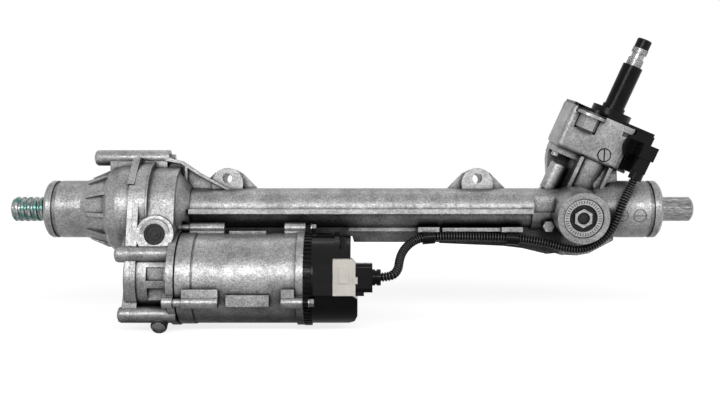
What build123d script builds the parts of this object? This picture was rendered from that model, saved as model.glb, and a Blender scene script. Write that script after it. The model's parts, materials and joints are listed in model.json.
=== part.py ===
"""Electric steering rack: motor beside the rack, belt and ball screw at the left, pinion tower at the right.

Working frame: the rack's axis is X, to the right as the driver side sees it, Y points away from the viewer,
Z points up, and X = 0 lies midway between the two mounting lugs. Millimetres.
The finished solids are moved so that the origin is the middle of the two mounting holes, on their seat face.
"""

from build123d import *
from math import acos, asin, atan, cos, degrees, pi, radians, sin, sqrt, tan
import os

# Clearances
RUN = 0.05
SEAT = 0.02
GAP = 0.3

# Rack bar
RACK_R = 14.0
RACK_HALF = 388.0
RACK_CHAMFER = 2.5
ROD_THREAD_R = 6.9
ROD_THREAD_DEPTH = 28.0
SCREW_RELIEF_X = -104.0
SCREW_RELIEF_LENGTH = 6.0

# Ball screw
NUT_R = 24.0
NUT_LEFT = -271.0
NUT_RIGHT = -206.0
NUT_FLANGE_R = 33.0
NUT_BORE_GAP = 0.25

# Nut bearing
BEARING_LEFT = -268.0
BEARING_RIGHT = -247.0
BEARING_OUTER_R = 42.0
BEARING_OUTER_WALL = 6.0
BEARING_INNER_WALL = 6.5
RETAINER_THICK = 5.0

# Belt drive
BELT_PITCH = 5.0
BELT_WIDTH = 25.0
BELT_BACK = 1.6
PITCH_DEPTH = 0.6
TOOTH_R = 1.35
NUT_TEETH = 50
MOTOR_TEETH = 17
PULLEY_LEFT = -238.0
PULLEY_WIDTH = 28.0

# Gear case
CASE_SPLIT_X = -239.0
CASE_BACK_X = -195.0
CASE_R = 51.0
CASE_WALL = 6.0
CASE_LOW_R = 37.0
FLANGE_THICK = 6.0
FLANGE_PROUD = 2.5
WINDOW_X = -214.0
WINDOW_Z = -27.0
WINDOW_R = 11.5
WINDOW_BOSS_R = 16.2
WINDOW_FRONT = 60.0
STEP_X = -224.0
WINDOW_PAD_R = 20.5
UPPER_BOLT_SEAT_X = -209.0
DRAIN_AT = (-209.0, -61.0, -127.0)
DRAIN_TILT = 35.0
DRAIN_R = 5.0

# Left cover
COVER_END_X = -346.0
BOOT_R = 32.6
BOOT_BORE_R = 26.0
BOOT_BORE_DEPTH = 40.0
BOOT_GROOVE_DEPTH = 2.0
BOOT_GROOVE_WIDTH = 4.7
BOOT_GROOVE_FROM_END = 9.5
FLARE_X = -303.0
BELL_X = -274.0
BELL_R = 45.0
RACK_CLEAR_R = 17.0

# Motor: its axis lies below and before the rack
MOTOR_Y = -29.6
MOTOR_Z = -76.5
MOTOR_LEFT = -190.0
MOTOR_RIGHT = -52.0
FLANGE_LEFT = -60.0
LEFT_BOSS_START = -180.5
LEFT_BOSS_END = -142.0
RIGHT_BOSS_START = -75.0
BOLT_BOSS_R = 6.0
FRONT_BEARING_LEFT = -184.0
REAR_BEARING_LEFT = -74.0
REAR_BEARING_R = 14.0
REAR_BEARING_WIDTH = 9.0
SLOT_MIDDLE = 37.0
SLOT_DEPTH = 11.0
SLOT_WIDTH = 8.0
COIL_OVERHANG = 5.0
MOTOR_R = 50.0
MOTOR_WALL = 4.0
MOTOR_FLANGE_R = 52.0
MOTOR_SHAFT_R = 8.0
ROTOR_R = 28.5
MAGNET_THICK = 2.6
MAGNETS = 8
STATOR_BORE_R = 29.3
STATOR_SLOTS = 12
STACK_LEFT = -160.0
STACK_RIGHT = -88.0
MOTOR_BEARING_R = 17.5
MOTOR_BEARING_WIDTH = 11.0
MOTOR_BOLT_PCR = 55.5
MOTOR_BOLT_ANGLES = (90.0, -23.7, 203.7)

# Control unit at the right end of the motor
BAND_RIGHT = -44.0
UNIT_RIGHT = 6.0
UNIT_R = 50.0
UNIT_STEP_X = -22.0
UNIT_WALL = 3.0
BAND_R = 52.5
BAND_RIBS = 60
SOCKET_FRONT = -88.0
SOCKET_LOW = -91.0
SOCKET_HIGH = -52.5
PLUG_Y = -71.5
PLUG_Z = -72.7
PLUG_RIGHT = 22.0

# Tube of the main casting
TUBE_R = 24.0
TUBE_BORE_R = 17.0
NECK_X = -183.0
RIGHT_BOOT_X = 300.0
RIGHT_END_X = 348.0
BUSH_LENGTH = 18.0
BUSH_WALL = 2.2
TUBE_LOW_R = 21.5
TUBE_STEP_X = 203.0
PARTING_Z = -5.5
PARTING_THICK = 5.5
PARTING_PROUD = 7.0

# Hex boss at the front of the tube's right end
HEX_BOSS_AT = (220.3, -19.6)
HEX_BOSS_R = 6.6

# Mounting lugs
LUG_X = 142.75
LUG_Z = 35.0
LUG_R = 18.0
LUG_HOLE_R = 5.5
LUG_FRONT_Y = -6.0
LUG_SEAT_Y = 32.0

# Rack and pinion
PINION_X = 252.6
TOWER_LEAN = 10.5
TOWER_TILT = 22.5
PINION_TEETH = 8
PINION_MODULE = 2.1
PROFILE_SHIFT = 0.42
PRESSURE_ANGLE = 20.0
BACKLASH = 0.12
PINION_FACE = 34.0
RACK_TOOTH_SPACES = 27

# Tower, measured along the pinion's axis from the rack's height
TOWER_BOTTOM = -52.0
TOWER_TOP = 60.0
TOWER_R = 24.0
TOWER_RIBS = (-17.0, 18.0)
TOWER_BOSS_AT = (-34.0, -12.0)
TOWER_BOSS_R = 9.5
TOWER_BOSS_TOP = 43.0
LOWER_BEARING_T = -33.0
LOWER_BEARING_R = 14.0
LOWER_BEARING_WIDTH = 10.0
UPPER_BEARING_T = 23.0
UPPER_BEARING_R = 18.5
UPPER_BEARING_WIDTH = 12.0
PINION_SHAFT_R = 9.0
PINION_JOURNAL_R = 6.5
PINION_TOP = 66.0
SOCKET_R = 8.4
SOCKET_FLAT = 6.2
SOCKET_DEPTH = 18.0
SOCKET_WALL = 3.0
STOP_ANGLE = 4.0
TORSION_R = 2.6

# Sensor housing on the tower
BOX_BOTTOM = 60.0
BOX_TOP = 110.0
BOX_LEFT = -50.0
BOX_RIGHT = 28.0
BOX_FRONT = -28.0
BOX_BACK = 27.0
BOX_WALL = 4.0
SIDE_COVER_RIGHT = 50.0
TOP_PLATE = 3.5
TOP_RING = 11.0
TOP_RING_R = 23.0
CLAMP_NUT_T = 87.0
CLAMP_NUT_AT = (-27.7, -28.0)
CLAMP_NUT_HIGH = 17.0
CLAMP_HEX_R = 12.0
CLAMP_FLANGE_R = 17.2
CLAMP_FLANGE_THICK = 3.5
COVER_DISC_AT = (33.0, 92.0)
COVER_DISC_R = 14.0

# Input shaft
INPUT_R = 8.8
INPUT_TOP = 196.0
SLEEVE_BOTTOM = 121.0
SLEEVE_TOP = 175.0
SLEEVE_R = 11.5
CAP_TOP = 207.0
CAP_STEP = 0.4
SPLINE_TEETH = 36
SPLINE_DEPTH = 0.7
CLAMP_GROOVE_T = 184.0
CLAMP_GROOVE_WIDTH = 6.0
CLAMP_GROOVE_DEPTH = 1.6

# Yoke
YOKE_R = 19.0
YOKE_FACE = 7.0
YOKE_BACK = 42.5
O_RING = 2.0
LINER_THICK = 1.0
YOKE_BOSS_R = 28.5
YOKE_BOSS_END = 57.0
YOKE_PLUG_R = 22.0
YOKE_PLUG_THICK = 10.0
YOKE_HEX = 18.6
YOKE_RECESS_R = 15.2

# Bolts of the gear cover: centre y, z and how far the blind boss runs to the left
COVER_BOLTS = (
    (0.0, 58.7, -295.0),
    (-60.0, -48.5, -257.0),
    (-58.0, -114.2, -254.0),
    (12.0, -108.0, -254.0),
    (47.0, -35.0, -262.0),
    (46.0, 36.0, -262.0),
)
COVER_BOSS_R = 9.0
BOLT_R = 3.0
BOLT_HEAD_R = 5.0
BOLT_HEAD = 6.0

# Cable between the control unit and the torque sensor
CABLE_R = 5.0
CABLE_ROUTE = (
    (50.0, -62.5, -66.0),
    (52.0, -50.5, -54.5),
    (56.5, -40.5, -45.5),
    (65.0, -31.0, -37.5),
    (76.0, -24.5, -32.5),
    (98.0, -22.5, -30.8),
    (128.0, -22.0, -31.0),
    (160.0, -22.2, -31.6),
    (190.0, -22.5, -33.2),
    (217.0, -22.8, -37.5),
    (244.0, -24.0, -45.5),
    (262.0, -27.5, -45.0),
    (276.0, -33.0, -36.5),
    (285.5, -39.0, -26.0),
    (291.5, -42.5, -13.0),
    (296.0, -42.5, 0.0),
    (301.2, -40.7, 11.2),
)
CLIP_XS = (86.0, 180.0)
CLIP_LENGTH = 14.0
PLUG_AXIS_E = 40.5
PLUG_AXIS_V = -50.0
PLUG_BOTTOM = 59.0
PLUG_TOP = 84.0
PLUG_GRIP = 5.0
CLIP_PAD_Z = -26.0

# Worked out from the sizes above
LEAN = radians(TOWER_LEAN)
TILT = radians(TOWER_TILT)
RACK_PITCH = pi * PINION_MODULE
PITCH_R = PINION_TEETH * PINION_MODULE / (2 * cos(TILT))
DATUM_R = PITCH_R + PROFILE_SHIFT * PINION_MODULE
PINION_TIP_R = DATUM_R + PINION_MODULE
PINION_ROOT_R = DATUM_R - 1.25 * PINION_MODULE
RACK_DATUM = 9.56
RACK_TIP = RACK_DATUM + PINION_MODULE
RACK_ROOT = RACK_DATUM - 1.25 * PINION_MODULE
PINION_OFFSET = RACK_DATUM + DATUM_R
NUT_PITCH_R = NUT_TEETH * BELT_PITCH / (2 * pi)
MOTOR_PITCH_R = MOTOR_TEETH * BELT_PITCH / (2 * pi)
MOTOR_AT = (MOTOR_Y, MOTOR_Z)
BELT_REACH = sqrt(MOTOR_Y**2 + MOTOR_Z**2)
FLOAT_END = (Align.CENTER, Align.CENTER, Align.MIN)

BACKWARD = Vector(0, cos(LEAN), sin(LEAN))
TOWER_UP = Vector(sin(TILT), -sin(LEAN) * cos(TILT), cos(LEAN) * cos(TILT))
TOWER_SIDE = Vector(cos(TILT), sin(LEAN) * sin(TILT), -cos(LEAN) * sin(TILT))
TOWER = Plane(origin=Vector(PINION_X, 0, 0) + BACKWARD * PINION_OFFSET, x_dir=TOWER_SIDE, z_dir=TOWER_UP)
TEETH = Plane(origin=(PINION_X, 0, 0), x_dir=(1, 0, 0), z_dir=(0, -sin(LEAN), cos(LEAN)))
YOKE = Plane(origin=(PINION_X, 0, 0), x_dir=(1, 0, 0), z_dir=BACKWARD * -1)
DRAIN = Plane(origin=DRAIN_AT, x_dir=(1, 0, 0), z_dir=(0, cos(radians(DRAIN_TILT)), sin(radians(DRAIN_TILT))))


def rod(x0, x1, r, at=(0, 0)):
    """Round bar along X from x0 to x1."""
    return extrude(Plane.YZ.offset(x0) * Pos(*at) * Circle(r), x1 - x0)


def ring(x0, x1, r_in, r_out, at=(0, 0)):
    """Tube along X from x0 to x1."""
    return extrude(Plane.YZ.offset(x0) * Pos(*at) * (Circle(r_out) - Circle(r_in)), x1 - x0)


def turned(points, at=(0, 0)):
    """Solid turned about a line along X, from (x, radius) points."""
    return Pos(0, *at) * revolve(make_face(Polyline(*points, close=True)), Axis.X)


def block(x, y, z):
    """Box between two limits along each axis."""
    centre = Pos((x[0] + x[1]) / 2, (y[0] + y[1]) / 2, (z[0] + z[1]) / 2)
    return centre * Box(abs(x[1] - x[0]), abs(y[1] - y[0]), abs(z[1] - z[0]))


def lobes(x0, x1, r_up, r_low):
    """Belt-case shape: one round lobe about the rack and one about the motor shaft."""
    outline = Circle(r_up).edges() + (Pos(*MOTOR_AT) * Circle(r_low)).edges()
    return extrude(Plane.YZ.offset(x0) * make_hull(outline), x1 - x0)


def upright(t0, t1, r, at=(0, 0)):
    """Round bar along a plane's own Z, from t0 to t1."""
    return Pos(at[0], at[1], t0) * Cylinder(r, t1 - t0, align=FLOAT_END)


def upright_ring(t0, t1, r_in, r_out, at=(0, 0)):
    """Tube along a plane's own Z, from t0 to t1."""
    return upright(t0, t1, r_out, at) - upright(t0, t1, r_in, at)


def on(plane, shape):
    """Shape built in a plane's own axes, put where the plane lies."""
    return plane.location * shape


def motor_bolt_places():
    """Centres of the motor's bolts, seen along X."""
    places = []
    for angle in MOTOR_BOLT_ANGLES:
        swing = radians(angle)
        places.append((MOTOR_Y - MOTOR_BOLT_PCR * cos(swing), MOTOR_Z + MOTOR_BOLT_PCR * sin(swing)))
    return places


# Main casting

def case_body():
    """Belt half of the gear case with its flange, neck and motor seat."""
    case = lobes(CASE_SPLIT_X, CASE_SPLIT_X + FLANGE_THICK, CASE_R + FLANGE_PROUD, CASE_LOW_R + FLANGE_PROUD)
    case += lobes(CASE_SPLIT_X, CASE_BACK_X, CASE_R - FLANGE_PROUD, CASE_LOW_R)
    case += rod(CASE_SPLIT_X, STEP_X, CASE_R + FLANGE_PROUD)
    case += ring(STEP_X - 1.6, STEP_X, CASE_R, CASE_R + FLANGE_PROUD + 1)
    high = lobes(CASE_SPLIT_X, CASE_BACK_X + 2, CASE_R + FLANGE_PROUD, CASE_LOW_R + FLANGE_PROUD)
    case += high & window_disc(WINDOW_PAD_R, 20)
    case += turned(((CASE_BACK_X, 0), (CASE_BACK_X, CASE_R - 8), (NECK_X, TUBE_R + 2), (NECK_X, 0)))
    case += rod(CASE_BACK_X - 3, MOTOR_LEFT, MOTOR_FLANGE_R, MOTOR_AT)
    return case


def window_disc(r, back):
    """Round bar from behind the case's front wall to well before it, at the inspection hole."""
    return extrude(Plane.XZ.offset(back) * Pos(WINDOW_X, WINDOW_Z) * Circle(r), WINDOW_FRONT)


def case_bosses():
    """Bosses for the cover bolts, the inspection hole and the drain hole."""
    bosses = Part()
    for y, z, _ in COVER_BOLTS:
        right = MOTOR_LEFT if below_rack(z) else UPPER_BOLT_SEAT_X
        bosses += rod(CASE_SPLIT_X, right, COVER_BOSS_R, (y, z))
        bosses += web_to_case(CASE_SPLIT_X, CASE_SPLIT_X + FLANGE_THICK, y, z)
    bosses += extrude(Plane.XZ.offset(-20) * Pos(WINDOW_X, WINDOW_Z) * Circle(WINDOW_BOSS_R), WINDOW_FRONT + 20)
    bosses += block((CASE_SPLIT_X, UPPER_BOLT_SEAT_X - 2), (-8, 8), (40, COVER_BOLTS[0][1]))
    bosses += on(DRAIN, upright(0, 30, DRAIN_R + 4))
    for place in motor_bolt_places():
        bosses += rod(CASE_BACK_X - 6, MOTOR_LEFT, BOLT_BOSS_R, place)
        bosses += boss_root(CASE_BACK_X - 6, MOTOR_LEFT, place)
    return bosses


def below_rack(z):
    """True for the bolts whose heads lie in the motor's seat."""
    return z < -40


def web_to_case(x0, x1, y, z):
    """Plate that ties a bolt boss to the nearer lobe of the case."""
    lobe = MOTOR_AT if below_rack(z) and z < -80 else (0, 0)
    outline = (Pos(y, z) * Circle(COVER_BOSS_R - 1.5)).edges() + (Pos(*lobe) * Circle(18)).edges()
    return extrude(Plane.YZ.offset(x0) * make_hull(outline), x1 - x0)


def tube_body():
    """Tube with its parting rib, bottom web, gusset and both boot seats' rigid parts."""
    tube = rod(CASE_BACK_X, RIGHT_BOOT_X, TUBE_R)
    tube -= block((NECK_X, TUBE_STEP_X), (-TUBE_R - 1, TUBE_R + 1), (-TUBE_R - 1, PARTING_Z))
    tube += rod(CASE_BACK_X, RIGHT_BOOT_X, TUBE_LOW_R)
    tube += block((NECK_X, TUBE_STEP_X), (-TUBE_R - PARTING_PROUD, 0), (PARTING_Z, PARTING_Z + PARTING_THICK))
    tube += block((101.5, 167), (-TUBE_LOW_R, 0), (-25.4, -21))
    web = Polyline(
        (-26, -15), (-10, -28), (0, -31), (2, -37.6), (150, -38), (190, -33), (206, -20), (206, -10), (-26, -10),
        close=True,
    )
    tube += extrude(Plane.XZ.offset(-4) * make_face(web), 8)
    gusset = Polyline((-213, 60), (-195, 55), (-175, 41.5), (-140, 22), (-140, 10), (-213, 10), close=True)
    tube += extrude(Plane.XZ.offset(-3) * make_face(gusset), 6)
    rim = Polyline(
        (-213, 60), (-195, 55), (-175, 41.5), (-136, 21), (-136, 18), (-175, 38.3), (-195, 51.5), (-213, 55),
        close=True,
    )
    tube += extrude(Plane.XZ.offset(-9) * make_face(rim), 18)
    return tube + block((-191, -188), (-9, 9), (18, 50))


def right_seat():
    """Boot seat at the right end, with the clamp groove."""
    groove = RIGHT_END_X - BOOT_GROOVE_FROM_END
    points = (
        (RIGHT_BOOT_X - 26, 0),
        (RIGHT_BOOT_X - 26, TUBE_R + 1),
        (RIGHT_BOOT_X - 6, BOOT_R - 1),
        (RIGHT_BOOT_X + 4, BOOT_R),
        (groove - BOOT_GROOVE_WIDTH, BOOT_R),
        (groove - BOOT_GROOVE_WIDTH, BOOT_R - BOOT_GROOVE_DEPTH),
        (groove, BOOT_R - BOOT_GROOVE_DEPTH),
        (groove, BOOT_R),
        (RIGHT_END_X - 3, BOOT_R),
        (RIGHT_END_X, BOOT_R - 3),
        (RIGHT_END_X, 0),
    )
    return turned(points)


def lug(x):
    """One mounting lug: an eye on a web that runs out along the tube."""
    web = Polyline(
        (x - 36, 12), (x - 34, TUBE_R - 1), (x - 15, LUG_Z + 7), (x + 15, LUG_Z + 7), (x + 34, TUBE_R - 1), (x + 36, 12),
        close=True,
    )
    body = extrude(Plane.XZ.offset(-2) * make_face(web), -12)
    eye = make_hull(
        (Pos(x, LUG_Z - 6) * Circle(LUG_R)).edges() + (Pos(x, 8) * Circle(LUG_R - 4)).edges()
    )
    body += extrude(Plane.XZ.offset(-LUG_FRONT_Y) * eye, LUG_FRONT_Y - LUG_SEAT_Y)
    return body


def tower_body():
    """Pinion tower, its ribs and its flange under the sensor housing, in the tower's own axes."""
    tower = upright(TOWER_BOTTOM, TOWER_TOP, TOWER_R)
    for e in TOWER_RIBS:
        tower += block((e - 2, e + 2), (-TOWER_R - 6, 0), (12, TOWER_TOP))
    boss = upright(10, TOWER_BOSS_TOP, TOWER_BOSS_R, TOWER_BOSS_AT)
    tower += fillet(boss.edges().group_by(Axis.Z)[-1], 4)
    flange = block((BOX_LEFT + 3, BOX_RIGHT - 3), (BOX_FRONT + 9, BOX_BACK - 4), (TOWER_TOP - 7, TOWER_TOP))
    return tower + flange


def tower_arm():
    """Curved plate from the tube up the tower's left side to the sensor housing."""
    edge = Spline((205, 14), (215, 20.5), (223, 29), (227, 40), (226.8, 53), (230, 72))
    edges = [edge, Polyline((230, 72), (262, 66), (262, 8), (205, 8), (205, 14))]
    arm = extrude(Plane.XZ.offset(-27) * make_face(edges), 14)
    return arm & on(TOWER, upright(-40, TOWER_TOP, 90))


def tower_foot():
    """Plate under the yoke's boss, and the shoulder between tower and right boot seat."""
    foot = Polyline(
        (222, -10), (231, -49), (240, -52.5), (258, -53.5), (272, -51), (300, -36), (300, -10),
        close=True,
    )
    shoulder = Polyline((275, 18), (275, 45), (293, 44), (302, 39), (302, 18), close=True)
    plate = extrude(Plane.XZ.offset(-8) * make_face(foot), 8)
    return plate + extrude(Plane.XZ.offset(-10) * make_face(shoulder), 18)


def tower_bore():
    """Everything that is bored out along the pinion's axis, in the tower's own axes."""
    bore = upright(-PINION_FACE / 2 - 2, UPPER_BEARING_T, PINION_TIP_R + 1)
    bore += upright(UPPER_BEARING_T, UPPER_BEARING_T + UPPER_BEARING_WIDTH, UPPER_BEARING_R + SEAT)
    bore += upright(UPPER_BEARING_T + UPPER_BEARING_WIDTH, TOWER_TOP + 1, UPPER_BEARING_R)
    bore += upright(LOWER_BEARING_T, 0, LOWER_BEARING_R + SEAT)
    bore += upright(TOWER_BOTTOM - 1, LOWER_BEARING_T, LOWER_BEARING_R + 2)
    return bore


def main_housing():
    """One casting from the belt case to the right boot seat."""
    body = case_body() + case_bosses() + tube_body() + right_seat()
    body += lug(-LUG_X) + lug(LUG_X)
    body += on(TOWER, tower_body())
    body += on(YOKE, upright(0, YOKE_BOSS_END, YOKE_BOSS_R))
    body += tower_arm() + tower_foot()
    body += extrude(Plane.XZ.offset(10) * Pos(*HEX_BOSS_AT) * RegularPolygon(HEX_BOSS_R, 6), 17)
    for x in CLIP_XS:
        body += block((x - 12, x + 12), (-24, -2), (CLIP_PAD_Z, CLIP_PAD_Z + 5.6))
    room_r = CASE_R - FLANGE_PROUD - CASE_WALL
    body -= lobes(CASE_SPLIT_X - 1, CASE_BACK_X - 8, room_r, CASE_LOW_R - CASE_WALL)
    body -= block((205, 229), (-TUBE_R - 16, -TUBE_BORE_R - 2.5), (PARTING_Z + 1.5, 14.5))
    body -= rod(CASE_BACK_X - 9, RIGHT_END_X + 1, TUBE_BORE_R)
    body -= rod(RIGHT_END_X - BOOT_BORE_DEPTH, RIGHT_END_X + 1, BOOT_BORE_R)
    body -= rod(CASE_BACK_X - 9, MOTOR_LEFT + 1, MOTOR_BEARING_R + 4, MOTOR_AT)
    body -= bush_pocket()
    body -= on(TOWER, tower_bore())
    body -= on(YOKE, upright(0, YOKE_BOSS_END + 1, YOKE_R + RUN))
    body -= on(YOKE, upright(YOKE_BOSS_END - YOKE_PLUG_THICK - 2, YOKE_BOSS_END + 1, YOKE_PLUG_R + SEAT))
    for x in (-LUG_X, LUG_X):
        hole = Plane.XZ.offset(-LUG_SEAT_Y - 1) * Pos(x, LUG_Z) * Circle(LUG_HOLE_R)
        body -= extrude(hole, LUG_SEAT_Y - LUG_FRONT_Y + 9)
    body -= cover_bolt_holes()
    body -= motor_bolt_holes(CASE_BACK_X - 4, MOTOR_LEFT + 1)
    body -= rod(MOTOR_LEFT, NECK_X + 1, MOTOR_R + 1.5, MOTOR_AT)
    body -= [rod(MOTOR_LEFT, NECK_X + 1, BOLT_BOSS_R + 1.5, place) for place in motor_bolt_places()]
    body -= extrude(Plane.XZ.offset(20) * Pos(WINDOW_X, WINDOW_Z) * Circle(WINDOW_R + SEAT), WINDOW_FRONT)
    body -= on(DRAIN, upright(-1, 40, DRAIN_R + SEAT))
    body -= block((-222, -203), (-90, -63.2), (-77, -62.5))
    body -= block((-221, -203), (-90, -59.5), (-99.5, -85))
    return body - [on(TOWER, screw) for screw in sensor_screw_bodies(SEAT)]


def bush_pocket():
    """Seat of the rack bush, just inside the right boot bore."""
    mouth = RIGHT_END_X - BOOT_BORE_DEPTH
    return rod(mouth - BUSH_LENGTH, mouth + 1, RACK_R + BUSH_WALL + SEAT + RUN)


def cover_bolt_holes():
    """Clear holes for the cover bolts in the main casting."""
    holes = Part()
    for y, z, _ in COVER_BOLTS:
        seat = bolt_seat_x(z)
        holes += rod(CASE_SPLIT_X - 1, MOTOR_LEFT + 1, BOLT_R + GAP, (y, z))
        holes += rod(seat, MOTOR_LEFT + 1, BOLT_HEAD_R + GAP, (y, z))
    return holes


def bolt_seat_x(z):
    """Where a cover bolt's head bears on the main casting."""
    return MOTOR_LEFT - BOLT_HEAD - 1 if below_rack(z) else UPPER_BOLT_SEAT_X


def motor_bolt_holes(x0, x1):
    """Tapped holes for the motor bolts."""
    holes = Part()
    for place in motor_bolt_places():
        holes += rod(x0, x1, BOLT_R + SEAT, place)
    return holes


# Gear cover and what holds it

def cover_profile():
    """Outline of the cover's round part, as (x, radius) points."""
    groove = COVER_END_X + BOOT_GROOVE_FROM_END
    return (
        (COVER_END_X, 0),
        (COVER_END_X, BOOT_R - 4),
        (COVER_END_X + 1.5, BOOT_R - 1.5),
        (COVER_END_X + 4, BOOT_R),
        (groove, BOOT_R),
        (groove, BOOT_R - BOOT_GROOVE_DEPTH),
        (groove + BOOT_GROOVE_WIDTH, BOOT_R - BOOT_GROOVE_DEPTH),
        (groove + BOOT_GROOVE_WIDTH, BOOT_R),
        (FLARE_X, BOOT_R),
        (BELL_X - 4, BELL_R - 5),
        (BELL_X, BELL_R - 1),
        (BELL_X + 3, BELL_R + 2),
        (BELL_X + 14, CASE_R - 1),
        (CASE_SPLIT_X, CASE_R),
        (CASE_SPLIT_X, 0),
    )


def cover_ribs():
    """Fins along the flare, from the boot seat to the bell."""
    fin = Polyline(
        (FLARE_X + 6, BOOT_R - 6), (FLARE_X + 6, BOOT_R + 3), (BELL_X - 4, BELL_R - 1.2),
        (BELL_X + 5, BELL_R), (BELL_X + 5, BOOT_R - 6),
        close=True,
    )
    blade = extrude(make_face(fin), 2.2, both=True)
    return [Rot(angle, 0, 0) * blade for angle in range(24, 384, 33)]


def gear_cover():
    """Left casting: boot seat, flare, bell over the nut bearing and the blind bolt bosses."""
    added = cover_ribs()
    added.append(lobes(CASE_SPLIT_X - FLANGE_THICK - 1.5, CASE_SPLIT_X, 30, CASE_LOW_R))
    flange_x = CASE_SPLIT_X - FLANGE_THICK
    added.append(lobes(flange_x, CASE_SPLIT_X, CASE_R + FLANGE_PROUD, CASE_LOW_R + FLANGE_PROUD))
    added.append(block((BELL_X - 2, CASE_SPLIT_X), (-8, 8), (36, COVER_BOLTS[0][1])))
    strap = Polyline((-47.5, 28), (-20, 58), (-6, 58), (-6, 42), (-40, 28), close=True)
    added.append(extrude(Plane.YZ.offset(CASE_SPLIT_X - 8) * make_face(strap), 8))
    for y, z, left in COVER_BOLTS:
        added.append(blind_boss(left, (y, z)))
        added.append(web_to_case(CASE_SPLIT_X - FLANGE_THICK - 4, CASE_SPLIT_X, y, z))
    removed = [
        rod(COVER_END_X - 1, COVER_END_X + BOOT_BORE_DEPTH, BOOT_BORE_R),
        rod(COVER_END_X, CASE_SPLIT_X + 1, RACK_CLEAR_R),
        rod(NUT_LEFT - 4, CASE_SPLIT_X + 1, NUT_R + 3),
        rod(BEARING_LEFT, CASE_SPLIT_X + 1, BEARING_OUTER_R + SEAT),
        rod(CASE_SPLIT_X - 3.5, CASE_SPLIT_X + 1, MOTOR_PITCH_R + 6, MOTOR_AT),
    ]
    for y, z, left in COVER_BOLTS:
        removed.append(rod(left + 12, CASE_SPLIT_X + 1, BOLT_R + SEAT, (y, z)))
    return turned(cover_profile()) + added - removed


def blind_boss(left, at):
    """Bolt boss of the cover, rounded at its closed left end."""
    nose = COVER_BOSS_R - 1.2
    points = (
        (left, 0), (left, 4.5), (left + 1.5, nose), (left + 4, COVER_BOSS_R),
        (CASE_SPLIT_X, COVER_BOSS_R), (CASE_SPLIT_X, 0),
    )
    return turned(points, at)


def cover_bolts():
    """Bolts that pull the cover to the main casting."""
    bolts = []
    for y, z, left in COVER_BOLTS:
        seat = bolt_seat_x(z)
        bolts.append(bolt(left + 14, seat, (y, z)))
    return Compound(bolts)


def bolt(tip, seat, at):
    """Flanged bolt along X, its head to the right of its seat."""
    body = rod(tip, seat, BOLT_R, at)
    head = rod(seat, seat + 1.4, BOLT_HEAD_R, at)
    hexagon = Plane.YZ.offset(seat + 1.4) * Pos(*at) * RegularPolygon(BOLT_HEAD_R - 0.4, 6)
    return body + head + extrude(hexagon, BOLT_HEAD - 1.4)


def inspection_plug():
    """Round plug in the front of the belt case."""
    plug = extrude(Plane.XZ.offset(WINDOW_FRONT - 7) * Pos(WINDOW_X, WINDOW_Z) * Circle(WINDOW_R), 5.5)
    plug -= extrude(Plane.XZ.offset(WINDOW_FRONT - 3) * Pos(WINDOW_X, WINDOW_Z) * Circle(WINDOW_R - 2.4), 5)
    ridge = Circle(6.2) - Circle(4.8)
    plug += extrude(Plane.XZ.offset(WINDOW_FRONT - 4) * Pos(WINDOW_X, WINDOW_Z) * ridge, 2)
    plug += extrude(Plane.XZ.offset(WINDOW_FRONT - 4) * Pos(WINDOW_X, WINDOW_Z) * Circle(2.6), 2.5)
    return plug


def drain_plug():
    """Plug in the lowest point of the belt case."""
    plug = upright(0, 12, DRAIN_R) + upright(-2.5, 0, DRAIN_R + 2.5)
    return on(DRAIN, plug - upright(-3, -1.5, DRAIN_R + 1))


# Ball screw

def nut_bearing_outer():
    """Outer ring of the nut bearing with its two shields."""
    inner = NUT_R + BEARING_INNER_WALL + 0.4
    wall = BEARING_OUTER_R - BEARING_OUTER_WALL
    outer = ring(BEARING_LEFT, BEARING_RIGHT, wall, BEARING_OUTER_R)
    outer += ring(BEARING_LEFT + 1, BEARING_LEFT + 2.2, inner, wall)
    outer += ring(BEARING_RIGHT - 2.2, BEARING_RIGHT - 1, inner, wall)
    return outer


def nut_bearing_inner():
    """Inner ring of the nut bearing, pressed on the nut."""
    return ring(BEARING_LEFT, BEARING_RIGHT, NUT_R + SEAT, NUT_R + BEARING_INNER_WALL)


def bearing_retainer():
    """Threaded ring that holds the outer ring in the cover."""
    right = BEARING_RIGHT + RETAINER_THICK
    body = ring(BEARING_RIGHT, right, NUT_FLANGE_R + 1.5, BEARING_OUTER_R)
    for angle in range(0, 360, 60):
        body -= Rot(angle, 0, 0) * Pos(right, 0, NUT_FLANGE_R + 5) * Box(4, 4, 4)
    return body


def ball_nut():
    """Ball nut with the flange that carries the pulley."""
    nut = rod(NUT_LEFT, NUT_RIGHT, NUT_R)
    nut += rod(BEARING_RIGHT, PULLEY_LEFT, NUT_FLANGE_R)
    nut -= rod(NUT_LEFT - 1, NUT_RIGHT + 1, RACK_R + NUT_BORE_GAP)
    nut -= ring(NUT_RIGHT - 4, NUT_RIGHT + 1, NUT_R - 1, NUT_R + 1)
    return nut


def toothed_disc(teeth, x0, x1, bore):
    """Belt pulley with round tooth grooves, about its own axis along X."""
    crest = teeth * BELT_PITCH / (2 * pi) - PITCH_DEPTH
    face = Circle(crest)
    for index in range(teeth):
        angle = 360 * index / teeth
        face -= Rot(0, 0, angle) * Pos(crest, 0) * Circle(TOOTH_R + 0.15)
    face -= Circle(bore)
    return extrude(Plane.YZ.offset(x0) * face, x1 - x0)


def nut_pulley():
    """Large belt pulley on the nut, with a rim at each side of the belt."""
    right = PULLEY_LEFT + PULLEY_WIDTH
    pulley = toothed_disc(NUT_TEETH, PULLEY_LEFT, right, NUT_R + SEAT)
    web = ring(PULLEY_LEFT + 8, right + 1, NUT_R + 5, NUT_PITCH_R - 7)
    return pulley - web


def pulley_lock_ring():
    """Ring nut that clamps the pulley against the nut's flange."""
    return ring(PULLEY_LEFT + PULLEY_WIDTH, NUT_RIGHT - GAP, NUT_R - 1 + SEAT, NUT_R + 4.5)


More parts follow.
